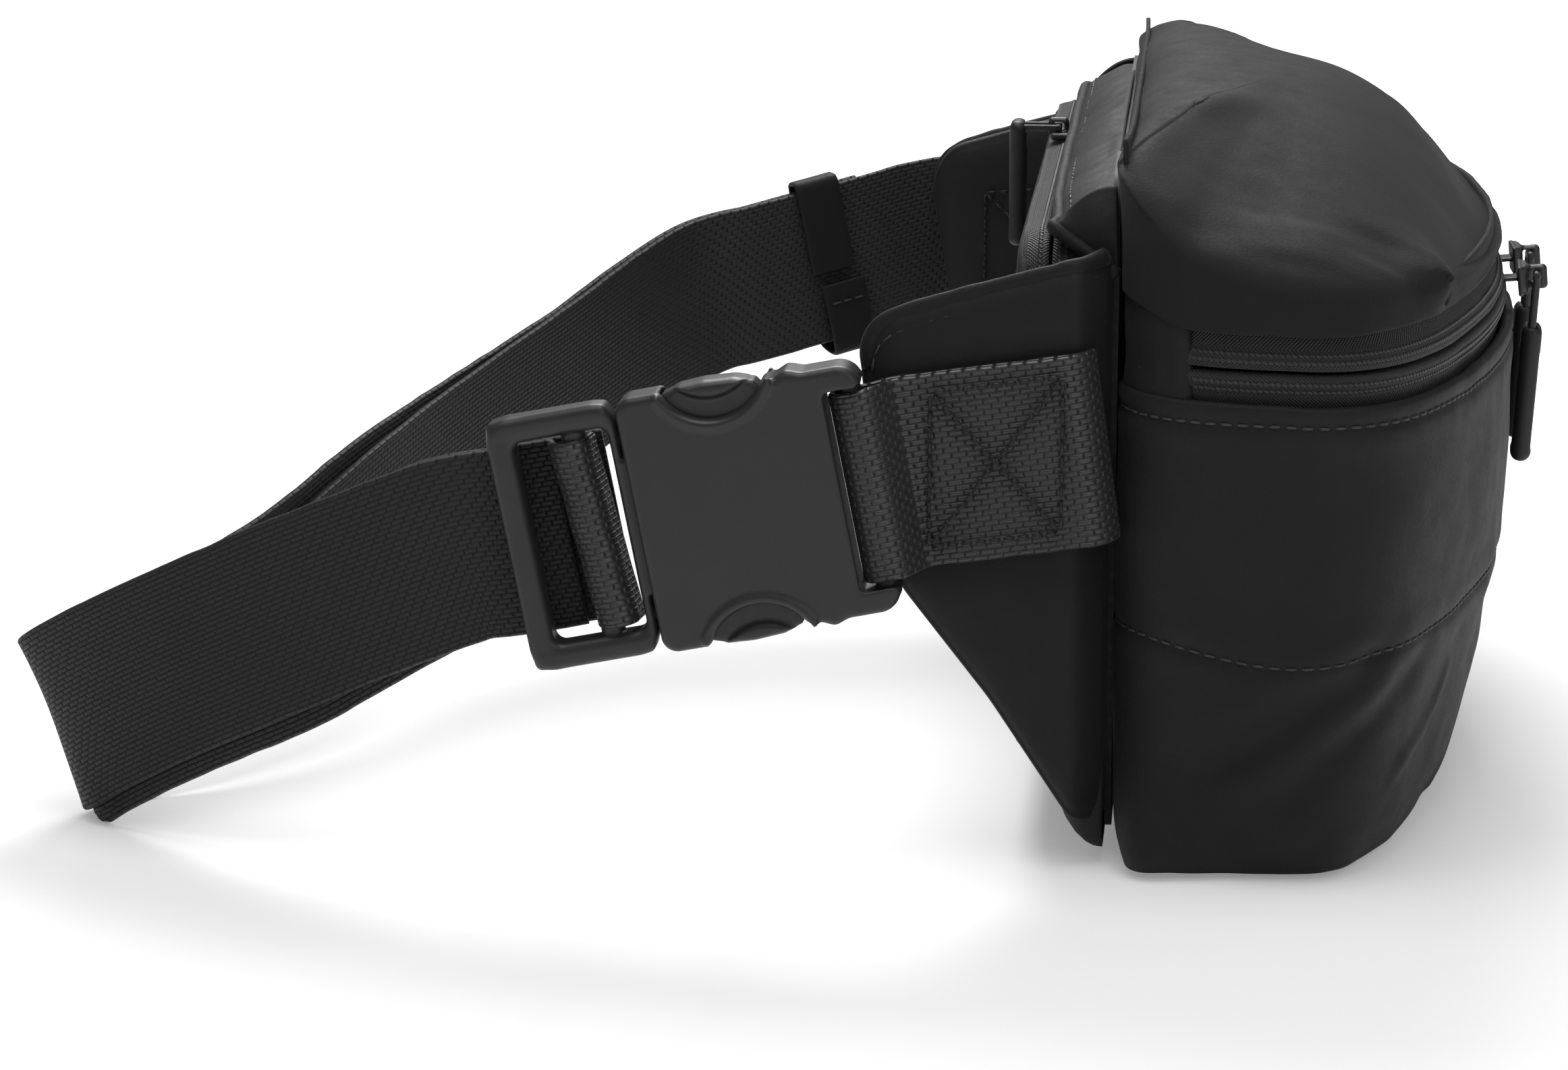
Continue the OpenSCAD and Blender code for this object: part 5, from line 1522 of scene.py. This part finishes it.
AP = smooth_poly(np.array(anc), 5)
box_c = 81.9 + 0.2
BOX = [(10.5, box_c + 15.5 + 3.6), (36.3, box_c + 15.5), (36.3, box_c - 15.5), (10.5, box_c - 15.5 + 3.6)]
AL = np.r_[0, np.cumsum(np.linalg.norm(np.diff(AP[:, :3], axis=0), axis=1))]


def anchor_shape(L, w):
    """Dents along the box stitch on the outer run."""
    total = AL[-1]
    y = np.interp(L, AL, AP[:, 1])
    outer = sstep(total * 0.58, total * 0.64, L)
    zc = anchor_z(y)
    z = zc + w
    Pq = np.stack([y + 0 * w, z, 0 * z], -1)
    d = np.full(z.shape, 1e9)
    for a, b in ((0, 1), (1, 2), (2, 3), (3, 0), (0, 2), (1, 3)):
        dd, _, _, _ = seg_dist(Pq, [(*BOX[a], 0), (*BOX[b], 0)])
        d = np.minimum(d, dd)
    return -0.0 * L + 0 * w - 0.25 * np.exp(-(d / 1.3) ** 2) * outer


anchor_o, anchor_f = ribbon("anchor_webbing_strip", AP[:, :3], AP[:, 3:], WEB_A, w=38.2, t=1.5, step=0.55, seed=7, wobble=0.06, slot="webbing", shape=anchor_shape, replaces=("anchor_webbing",))
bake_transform(anchor_o)
parts = []
for k_, (a, b) in enumerate(((0, 1), (1, 2), (2, 3), (3, 0), (0, 2), (1, 3))):
    p0, p1 = np.array(BOX[a]), np.array(BOX[b])
    q = p0 + (p1 - p0) * np.linspace(0.02, 0.98, 60)[:, None]
    pts = np.c_[np.full(60, -121.0 - 0.02 * k_), q]
    parts.append(stitch_line(pts, np.tile([-1.0, 0, 0], (60, 1)), 2.75, 0.35, 0.46, 0.4, 0.05, 0.05, 20 + k_))
V, F = merge(parts)
box_o = make("near_box_stitching", V, F, THR_D, None, "thread", replaces=("near_box_stitch",))
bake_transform(box_o)
parts = []
fb = [(10.5, 103.8), (37.5, 101.5), (37.5, 74.0), (10.5, 75.5)]
for k_, (a, b) in enumerate(((0, 1), (1, 2), (2, 3), (3, 0), (0, 2), (1, 3))):
    p0, p1 = np.array(fb[a]), np.array(fb[b])
    q = p0 + (p1 - p0) * np.linspace(0.0, 1, 60)[:, None]
    pts = np.c_[np.full(60, 109.55), q]
    parts.append(stitch_line(pts, np.tile([-1.0, 0, 0], (60, 1)), 2.9, 0.8, 0.34, 0.25, 0.0, 0.04, 40 + k_))
V, F = merge(parts)
make("far_box_stitching", V, F, THR_D, "bag", "thread", replaces=("far_box_stitch",))

# webbing roll round the centre bar of the plug
turn = []
for x, u in [(3.4, 53.4), (2.4, 53.6)]:
    turn.append([x, u])
for a in range(0, 181, 15):
    r = math.radians(a)
    turn.append([-3.5 * math.sin(r) + 0.2, 57.6 - 3.55 * math.cos(r)])
turn += [(2.4, 61.6), (3.4, 61.8)]
tp = np.array([[x, u, 0] for x, u in turn])
tp = smooth_poly(tp, 4)
tw = bk_world(np.c_[tp[:, 0], tp[:, 1] - 0.2, np.zeros(len(tp))])


def turn_shape(L, w):
    return 0.35 * np.sin(w * 0.55 + L * 0.25) * np.exp(-((L - 8) / 6.0) ** 2) * 0.6


roll_o, roll_f = ribbon("plug_webbing_roll", tw, np.tile([0, 11.2], (len(tw), 1)), WEB_A, w=37.6, t=1.5, step=0.45, seed=9, wobble=0.1, body="plug", slot="webbing", shape=turn_shape, replaces=("plug_webbing_turn",))
co = np.empty(len(roll_o.data.vertices) * 3)
roll_o.data.vertices.foreach_get("co", co)
co = co.reshape(-1, 3)
vv = co[:, 2] / S - (BK[2] - 57.6 * math.sin(SLOPE))
co[:, 1] += 0.075 * np.clip(vv, -20, 20) * S
roll_o.data.vertices.foreach_set("co", co.ravel())


# ------------------------------------------------------------------ buckle
def socket_field(x, u, v):
    d = s_rect(u, v, (29.5, 0), (18.5, 25.7), 3.2)
    d = smin(d, s_rect(u, v, (9.0, 0), (9.2, 24.8), 4.6), 1.5)
    waist = s_rect(u, v, (17, 0), (9, 22.6), 1.0)
    d = smin(d, waist, 1.5)
    for s_ in (-1, 1):
        d = smax(d, -(np.sqrt((u - 28.4) ** 2 + (v - s_ * 30) ** 2) - 11.0), 1.2)
        # small valley between ear and body
        d = smax(d, -(np.sqrt((u - 17.3) ** 2 + (v - s_ * 27.6) ** 2) - 3.0), 1.5)
    # the face is slightly crowned along its length
    h = 5.75 - 0.00045 * (v * v) - 0.0004 * (u - 26) ** 2
    f = s_ext(d, x, h, 1.55)
    # raised rim round the side scoops
    for s_ in (-1, 1):
        r = np.sqrt((u - 28.4) ** 2 + (v - s_ * 30) ** 2)
        ridge = np.sqrt((r - 12.4) ** 2 + (abs(x) - 5.35) ** 2) - 0.75
        ridge = np.maximum(ridge, s_rect(u, v, (28.4, 0), (11.5, 25.2), 1.0))
        f = smin(f, ridge, 1.0)
    cav = s_box(x, u, v, (0, 13.4 + 20, 0), (3.65, 20, 22.6), 0.6)
    f = np.maximum(f, -cav)
    f = smax(f, -(prong_field(x, u, abs(v)) - 0.45), 0.3)
    # slot for the webbing, and the bar across it
    slot2 = s_ext(s_rect(u, v, (5.0, 0), (2.5, 20.0), 1.2), x, 12, 0.0)
    f = smax(f, -np.minimum(slot2, s_box(x, u, v, (0, 1.3, 0), (5.1, 6.2, 20.4), 1.0)), 0.9)
    bar = np.maximum(s_cyl(x, u - BAR_U, 2.3), abs(v) - 22)
    f = smin(f, bar, 0.8)
    return f


def prong_field(x, u, v):
    pts = [(44.6, 15.4), (45.9, 17.6), (44.6, 20.0), (38.8, 21.6), (38.4, 24.7), (35, 25.7), (30, 26.0), (24, 25.6), (20.4, 24.4), (18.8, 22.3), (18.6, 16.8), (20.6, 14.8), (30, 16.1)]
    d = s_poly(u, v, pts) - 0.25
    f = s_ext(d, x, 3.35, 1.1)
    cap = s_ext(np.maximum(s_poly(u, v, pts), np.sqrt((u - 28.4) ** 2 + (v - 32.6) ** 2) - 9.8), x, 4.5, 1.2)
    return smin(f, cap, 0.8)


def plug_field(x, u, v):
    d = s_rect(u, v, (61.4, 0), (13.0, 25.5), 5.0)
    win = s_rect(u, v, (59.9, 0), (9.4, 20.5), 2.0)
    frame2 = smax(d, -win, 0.8)
    h = 3.3 + 0.75 * sstep(66, 73, u)
    f = s_ext(frame2, x, h, 1.5)
    # long sides stand a little proud, with a step at the lower inner corner
    for s_ in (-1, 1):
        f = smin(f, s_box(x, u, v, (0, 61.8, s_ * 23.2), (3.7, 12.2, 2.0), 1.5), 0.8)
    f = smin(f, np.maximum(s_cyl(x * 0.95, u - 57.6, 2.4), abs(v) - 21.5), 0.6)
    f = smin(f, s_box(x, u, v, (0, 45.3, 0), (3.25, 4.3, 13.8), 0.8), 0.8)
    tongue = s_box(x, u, v, (0, 29.5, 0), (3.1, 13.4, 6.4), 1.0)
    tongue = smax(tongue, -s_box(x, u, v, (-3.2, 30, 0), (1.4, 9.5, 3.4), 0.8), 0.5)
    tongue = smax(tongue, -s_box(x, u, v, (3.2, 30, 0), (1.4, 9.5, 3.4), 0.8), 0.5)
    f = smin(f, tongue, 1.0)
    # pivots of the prongs
    for s_ in (-1, 1):
        f = smin(f, np.maximum(s_cyl(u - 46.8, v - s_ * 17.6, 1.6), abs(x) - 2.4), 0.5)
        f = smax(f, -np.maximum(s_cyl(u - 44.6, v - s_ * 17.6, 3.0), abs(x) - 9), 0.3)
    return f


hv = 0.42
V, F = nets(socket_field, (-6.2, -1.2, -26.2), (6.2, 48.6, 26.2), hv)
make("buckle_socket_shell", bk_world(V), F, PLA, "belt", "buckle_plastic", replaces=("buckle_socket",))
V, F = nets(plug_field, (-4.6, 15.6, -26.0), (4.6, 75.0, 26.0), hv)
make("buckle_plug_frame", bk_world(V), F, PLA, "plug", "buckle_plastic", replaces=("buckle_plug",))
Vp, Fp = nets(prong_field, (-4.9, 17.6, 13.8), (4.9, 47.0, 26.8), hv)
make("buckle_prong_upper", bk_world(Vp), Fp, PLA, "prong_a", "buckle_plastic", replaces=("prong_upper",))
make("buckle_prong_lower", bk_world(Vp * np.array([1, 1, -1])), Fp[:, ::-1], PLA, "prong_b", "buckle_plastic", replaces=("prong_lower",))


# ------------------------------------------------------------------ keeper
kp_dir = unit(run_b - run_a)
kc = run_a + (run_b - run_a) * 0.56
KW = wdir(np.array([[4.0, 8.5]]), kp_dir[None])[0]
KN = np.cross(kp_dir, KW)
kpath = [(1.9, -1.2), (2.0, 4), (2.0, 12), (1.9, 18.6), (1.2, 20.7), (-0.9, 21.0), (-3.2, 20.6), (-3.9, 18.6), (-3.95, 8), (-3.95, -8), (-3.9, -18.8), (-3.2, -20.7), (-0.6, -21.9), (1.8, -21.6), (2.6, -19.6), (2.75, -14), (2.6, -8), (2.3, -4.6)]
kp = smooth_poly([(a, b, 0) for a, b in kpath], 8)[:, :2]
kp, kL = resample(kp, 0.5)
kt = unit(np.gradient(kp, axis=0))
kn = np.stack([kt[:, 1], -kt[:, 0]], 1)
V, m = [], 0
slide = 1.6 * sstep(kL[-1] - 26, kL[-1] - 18, kL)           # the sewn-down end sits a little to one side
secs = section(11.0, 0.95, nw=8, edge=0.1)
for i in range(len(kp)):
    for a, b in secs:
        q = kp[i] + kn[i] * b
        V.append(kc + KN * q[0] + KW * q[1] + kp_dir * (a + slide[i]))
V = np.array(V)
m = len(secs)
F = quads(len(kp), m, wrap_m=True).tolist() + [list(range(m)), [(len(kp) - 1) * m + i for i in range(m)][::-1]]
f = np.array(F[(len(kp) // 4) * m + 2])
mid = V[(len(kp) // 4) * m:(len(kp) // 4 + 1) * m].mean(0)
if np.dot(np.cross(V[f[1]] - V[f[0]], V[f[2]] - V[f[0]]), V[f].mean(0) - mid) < 0:
    F = [g[::-1] for g in F]
make("keeper_band", V, F, FAB, "keeper", "coated_fabric", replaces=("tail_keeper",))
pts = np.array([kc + KN * 3.25 + KW * w + kp_dir * (1.6 + a) for a, w in zip(np.linspace(-4.3, 4.3, 14), np.full(14, -9.2))])
V, F = stitch_line(pts, np.tile(KN, (14, 1)), 2.2, 0.5, 0.25, 0.12, 0.0, 0.02, 60)
make("keeper_stitching", V, F, THR, "keeper", "thread")


# ------------------------------------------------------------------ sliders and pulls
def on_arc(P, deg):
    a = math.radians(deg)
    P = np.asarray(P, float)
    x, y = P[..., 0], P[..., 1] - ARC_R
    return np.stack([x * math.cos(a) - y * math.sin(a), x * math.sin(a) + y * math.cos(a) + ARC_CY, P[..., 2]], -1)


def slider_field(x, y, z):
    plate = s_box(x, y, z, (0, -2.35, -0.2), (5.4, 1.0, 3.1), 0.8)
    plate = smax(plate, -(np.sqrt((abs(x) - 6.2) ** 2 + (z + 4.6) ** 2) - 2.6), 0.8)
    plate = smax(plate, (y * -1 - 3.6) + 0.05 * x * x, 0.4)
    lip = s_box(x, y, z, (0, -1.4, -0.2), (5.5, 0.5, 3.2), 0.4)
    bridge = s_box(x, y, z, (0, -4.9, -0.1), (1.35, 2.3, 2.6), 1.0)
    bridge = smax(bridge, -s_box(x, y, z, (0, -4.3, 0.3), (3, 1.3, 1.35), 0.6), 0.3)
    neck = s_box(x, y, z, (0, 1.8, 0), (2.8, 4.2, 0.42), 0.3)
    inner = s_box(x, y, z, (0, 5.4, -1.8), (4.4, 0.6, 2.2), 0.5)
    f = smin(smin(plate, lip, 0.3), bridge, 0.6)
    return smin(smin(f, neck, 0.3), inner, 0.3)


def link_field(x, y, z):
    bar = np.maximum(s_cyl(y, z, 0.78), abs(x) - 3.2)
    ring = s_rect(x, z, (0, -6.2), (3.2, 7.0), 1.6)
    ring = smax(ring, -s_rect(x, z, (0, -6.2), (1.95, 5.5), 1.0), 0.3)
    return smin(bar, s_ext(ring, y, 0.78, 0.45), 0.4)


def grip_field(x, y, z):
    w = 4.2 - 0.35 * sstep(-16, -40, z) + 0.0 * x
    b = s_box(x * 4.2 / w, y, z, (0, 0, -25.6), (4.2, 2.2, 15.0), 2.1)
    for s_ in (-1, 1):
        b = smax(b, -s_box(x, y, z, (0, s_ * 2.5, -27.2), (2.5, 0.75, 10.6), 0.6), 0.5)
        b = smin(b, s_box(x, y, z, (0, s_ * 1.45, -27.2), (1.5, 0.5, 9.6), 0.45), 0.5)
    b = smax(b, -s_box(x, y, z, (0, 0, -10.6), (3.4, 0.95, 2.6), 0.3), 0.3)
    hole = np.maximum(s_cyl(y, z + 13.6, 0.0) - 0.0, abs(x) - 9)
    return b


hs = 0.24
lean_in = math.radians(3.4)
sl_V, sl_F = nets(slider_field, (-5.7, -7.4, -4.3), (5.7, 6.2, 4.3), hs)
lk_V, lk_F = nets(link_field, (-3.4, -1.0, -13.4), (3.4, 1.0, 1.0), hs)
gr_V, gr_F = nets(grip_field, (-4.4, -2.4, -40.8), (4.4, 2.4, -10.4), hs)
def hang(V):
    c, s_ = math.cos(lean_in), math.sin(lean_in)
    return np.stack([V[:, 0], V[:, 1] * c - V[:, 2] * s_, V[:, 2] * c + V[:, 1] * s_], 1)


lk_V, gr_V = hang(lk_V), hang(gr_V)
up = np.array([0, 0, ZIP_Z])
pull = np.array([0, -5.0, ZIP_Z + 0.9])
tip = math.radians(5)
sl_V = np.stack([sl_V[:, 0], sl_V[:, 1] * math.cos(tip) + sl_V[:, 2] * math.sin(tip), sl_V[:, 2] * math.cos(tip) - sl_V[:, 1] * math.sin(tip)], 1)
for nm, deg in (("near", -2.3), ("far", 2.3)):
    make(f"slider_{nm}_body", on_arc(sl_V + up, deg), sl_F, MET, f"main_slider_{nm}", "slider_metal", replaces=(f"slider_{nm}",))
    make(f"pull_{nm}_wire", on_arc(lk_V + pull, deg), lk_F, MET, f"main_pull_{nm}", "slider_metal", replaces=(f"pull_{nm}_link",))
    make(f"pull_{nm}_tab", on_arc(gr_V + pull, deg), gr_F, RUB, f"main_pull_{nm}", "pull_rubber", replaces=(f"pull_{nm}_grip",))

# rear slider: the same slider laid flat on top of the pocket, its pull hanging down the back
RX = 28.0


def rear_field(x, y, z):
    plate = s_box(x, y, z, (0, 0.9, 0.6), (4.9, 3.9, 0.75), 0.6)
    bridge = s_box(x, y, z, (0, 3.15, 2.4), (1.25, 2.25, 2.0), 0.9)
    bridge = smax(bridge, -s_box(x, y, z, (0, 3.15, 2.25), (3, 1.25, 1.2), 0.7), 0.3)
    neck = s_box(x, y, z, (0, 0, -2.2), (2.7, 0.3, 2.4), 0.25)
    inner = s_box(x, y, z, (0, 0, -4.6), (4.3, 2.5, 0.55), 0.45)
    return smin(smin(smin(plate, bridge, 0.6), neck, 0.3), inner, 0.3)


V, F = nets(rear_field, (-5.2, -3.4, -5.4), (5.2, 5.8, 4.8), hs)
make("rear_slider_body", V + np.array([RX, 14, 126.8]), F, MET, "rear_zip_slider", "slider_metal", replaces=("rear_slider",))


def rear_link_field(x, y, z):
    bar = np.maximum(s_cyl(y, z, 0.7), abs(x) - 3.0)
    ring = s_rect(x, y, (0, 4.45), (3.0, 5.15), 1.3)
    ring = smax(ring, -s_rect(x, y, (0, 4.45), (1.9, 3.75), 0.8), 0.3)
    return smin(bar, s_ext(ring, z, 0.7, 0.4), 0.3)


V, F = nets(rear_link_field, (-3.2, -0.9, -0.9), (3.2, 9.8, 0.9), hs)
make("rear_pull_wire", V + np.array([RX, 17.15, 129.1]), F, MET, "rear_zip_pull", "slider_metal", replaces=("rear_pull_link",))


def rear_grip_field(x, y, z):
    b = s_box(x, y, z, (0, 0, -12.5), (4.2, 1.9, 14.0), 1.8)
    for s_ in (-1, 1):
        b = smax(b, -s_box(x, y, z, (0, s_ * 2.2, -14.5), (2.5, 0.7, 9.4), 0.55), 0.4)
        b = smin(b, s_box(x, y, z, (0, s_ * 1.2, -14.5), (1.5, 0.5, 8.4), 0.4), 0.4)
    return smax(b, -s_box(x, y, z, (0, -1.6, 0), (3.15, 2.6, 0.85), 0.2), 0.2)


V, F = nets(rear_grip_field, (-4.4, -2.1, -26.8), (4.4, 2.1, 1.8), hs)
make("rear_pull_tab", V + np.array([RX, 26.1, 129.1]), F, RUB, "rear_zip_pull", "pull_rubber", replaces=("rear_pull_grip",))

# ------------------------------------------------------------------ carried-over parts of the frame
for nm, mat in (("base_board", BOARD), ("rear_divider", LIN), ("back_panel_foam", FOAM), ("back_panel_lining", LIN),
                ):
    me = NODES[nm].data
    me.materials.clear()
    me.materials.append(mat)

# ------------------------------------------------------------------ stage
w = bpy.data.worlds.new("studio")
bpy.context.scene.world = w
w.use_nodes = True
w.node_tree.nodes["Background"].inputs["Color"].default_value = (1, 1, 1, 1)
lp = w.node_tree.nodes.new("ShaderNodeLightPath")
mx = w.node_tree.nodes.new("ShaderNodeMapRange")
w.node_tree.links.new(lp.outputs["Is Glossy Ray"], mx.inputs["Value"])
mx.inputs["To Min"].default_value, mx.inputs["To Max"].default_value = 0.40, 0.16
w.node_tree.links.new(mx.outputs["Result"], w.node_tree.nodes["Background"].inputs["Strength"])

fm = Mat("floor_white")
fn = fm.noise(fm.co.outputs["Object"], 6, 3, 0.5)
fm.sets(color=(0.93, 0.93, 0.93), rough=fm.ramp(fn, 0.3, 0.7, 0.28, 0.34), spec=0.35)
# painted glow: the floor emits light, weak near the bag (0.24) and strong far out (0.95), at full strength only for
# camera rays, so it reads white far off and darker round the bag
fm.b.inputs["Emission Color"].default_value = (1, 1, 1, 1)
fx, fy, _ = fm.sep(fm.co.outputs["Object"])
r2 = fm.math("SQRT", fm.math("ADD", fm.math("POWER", fm.math("ADD", fx, 0.05), 2.0), fm.math("POWER", fm.math("SUBTRACT", fy, 0.03), 2.0)))
flp = fm.t.nodes.new("ShaderNodeLightPath")
em = fm.math("MULTIPLY", fm.ramp(r2, 0.25, 0.75, 0.24, 0.95), fm.ramp(flp.outputs["Is Camera Ray"], 0.0, 1.0, 0.15, 1.0))
fm.t.links.new(em, fm.b.inputs["Emission Strength"])
g = np.linspace(-6000, 6000, 7)
X, Y = np.meshgrid(g, g, indexing="ij")
floor = make("floor", np.stack([X, Y, 0 * X - 0.15], -1).reshape(-1, 3), quads(7, 7), fm.m)


def area(name, loc, target, size, power, size_y=None, spread=None):
    d = bpy.data.lights.new(name, "AREA")
    d.shape = "RECTANGLE" if size_y else "SQUARE"
    d.size = size
    if size_y:
        d.size_y = size_y
    d.energy = power
    if spread:
        d.spread = spread
    o = bpy.data.objects.new(name, d)
    bpy.context.scene.collection.objects.link(o)
    o.location = loc
    o.rotation_mode = "QUATERNION"
    o.rotation_quaternion = (Vector(target) - Vector(loc)).to_track_quat("-Z", "Y")
    return o


area("key_back", (0.66, 0.10, 0.80), (-0.02, 0.03, 0.05), 0.45, 7.0, 0.45)
area("top_soft", (-0.25, 0.1, 1.25), (0, 0.05, 0.08), 0.8, 6.5, 0.8)
area("fill_camera", (-1.25, -0.75, 0.75), (0, 0.03, 0.08), 0.7, 2.4, 0.9)

cam_d = bpy.data.cameras.new("photo_view")
cam = bpy.data.objects.new("photo_view", cam_d)
bpy.context.scene.collection.objects.link(cam)
bpy.context.scene.camera = cam
ca, ce = math.radians(5.33), math.radians(12.85)
fwd = Vector((math.cos(ce) * math.cos(ca), math.cos(ce) * math.sin(ca), -math.sin(ce)))
rgt = Vector((math.sin(ca), -math.cos(ca), 0))
upv = rgt.cross(fwd)
cam.matrix_world = Matrix(((rgt.x, upv.x, -fwd.x, -1.0264), (rgt.y, upv.y, -fwd.y, -0.01973), (rgt.z, upv.z, -fwd.z, 0.27603), (0, 0, 0, 1)))
cam_d.sensor_fit = "HORIZONTAL"
cam_d.sensor_width = 36.0
cam_d.lens = 36.0 * 7050.0 / 2324.0
cam_d.clip_start, cam_d.clip_end = 0.05, 50

sc = bpy.context.scene
sc.view_settings.view_transform = "Standard"
sc.view_settings.look = "None"
sc.view_settings.exposure = 0.0
sc.view_settings.gamma = 1.0

bpy.context.view_layer.update()
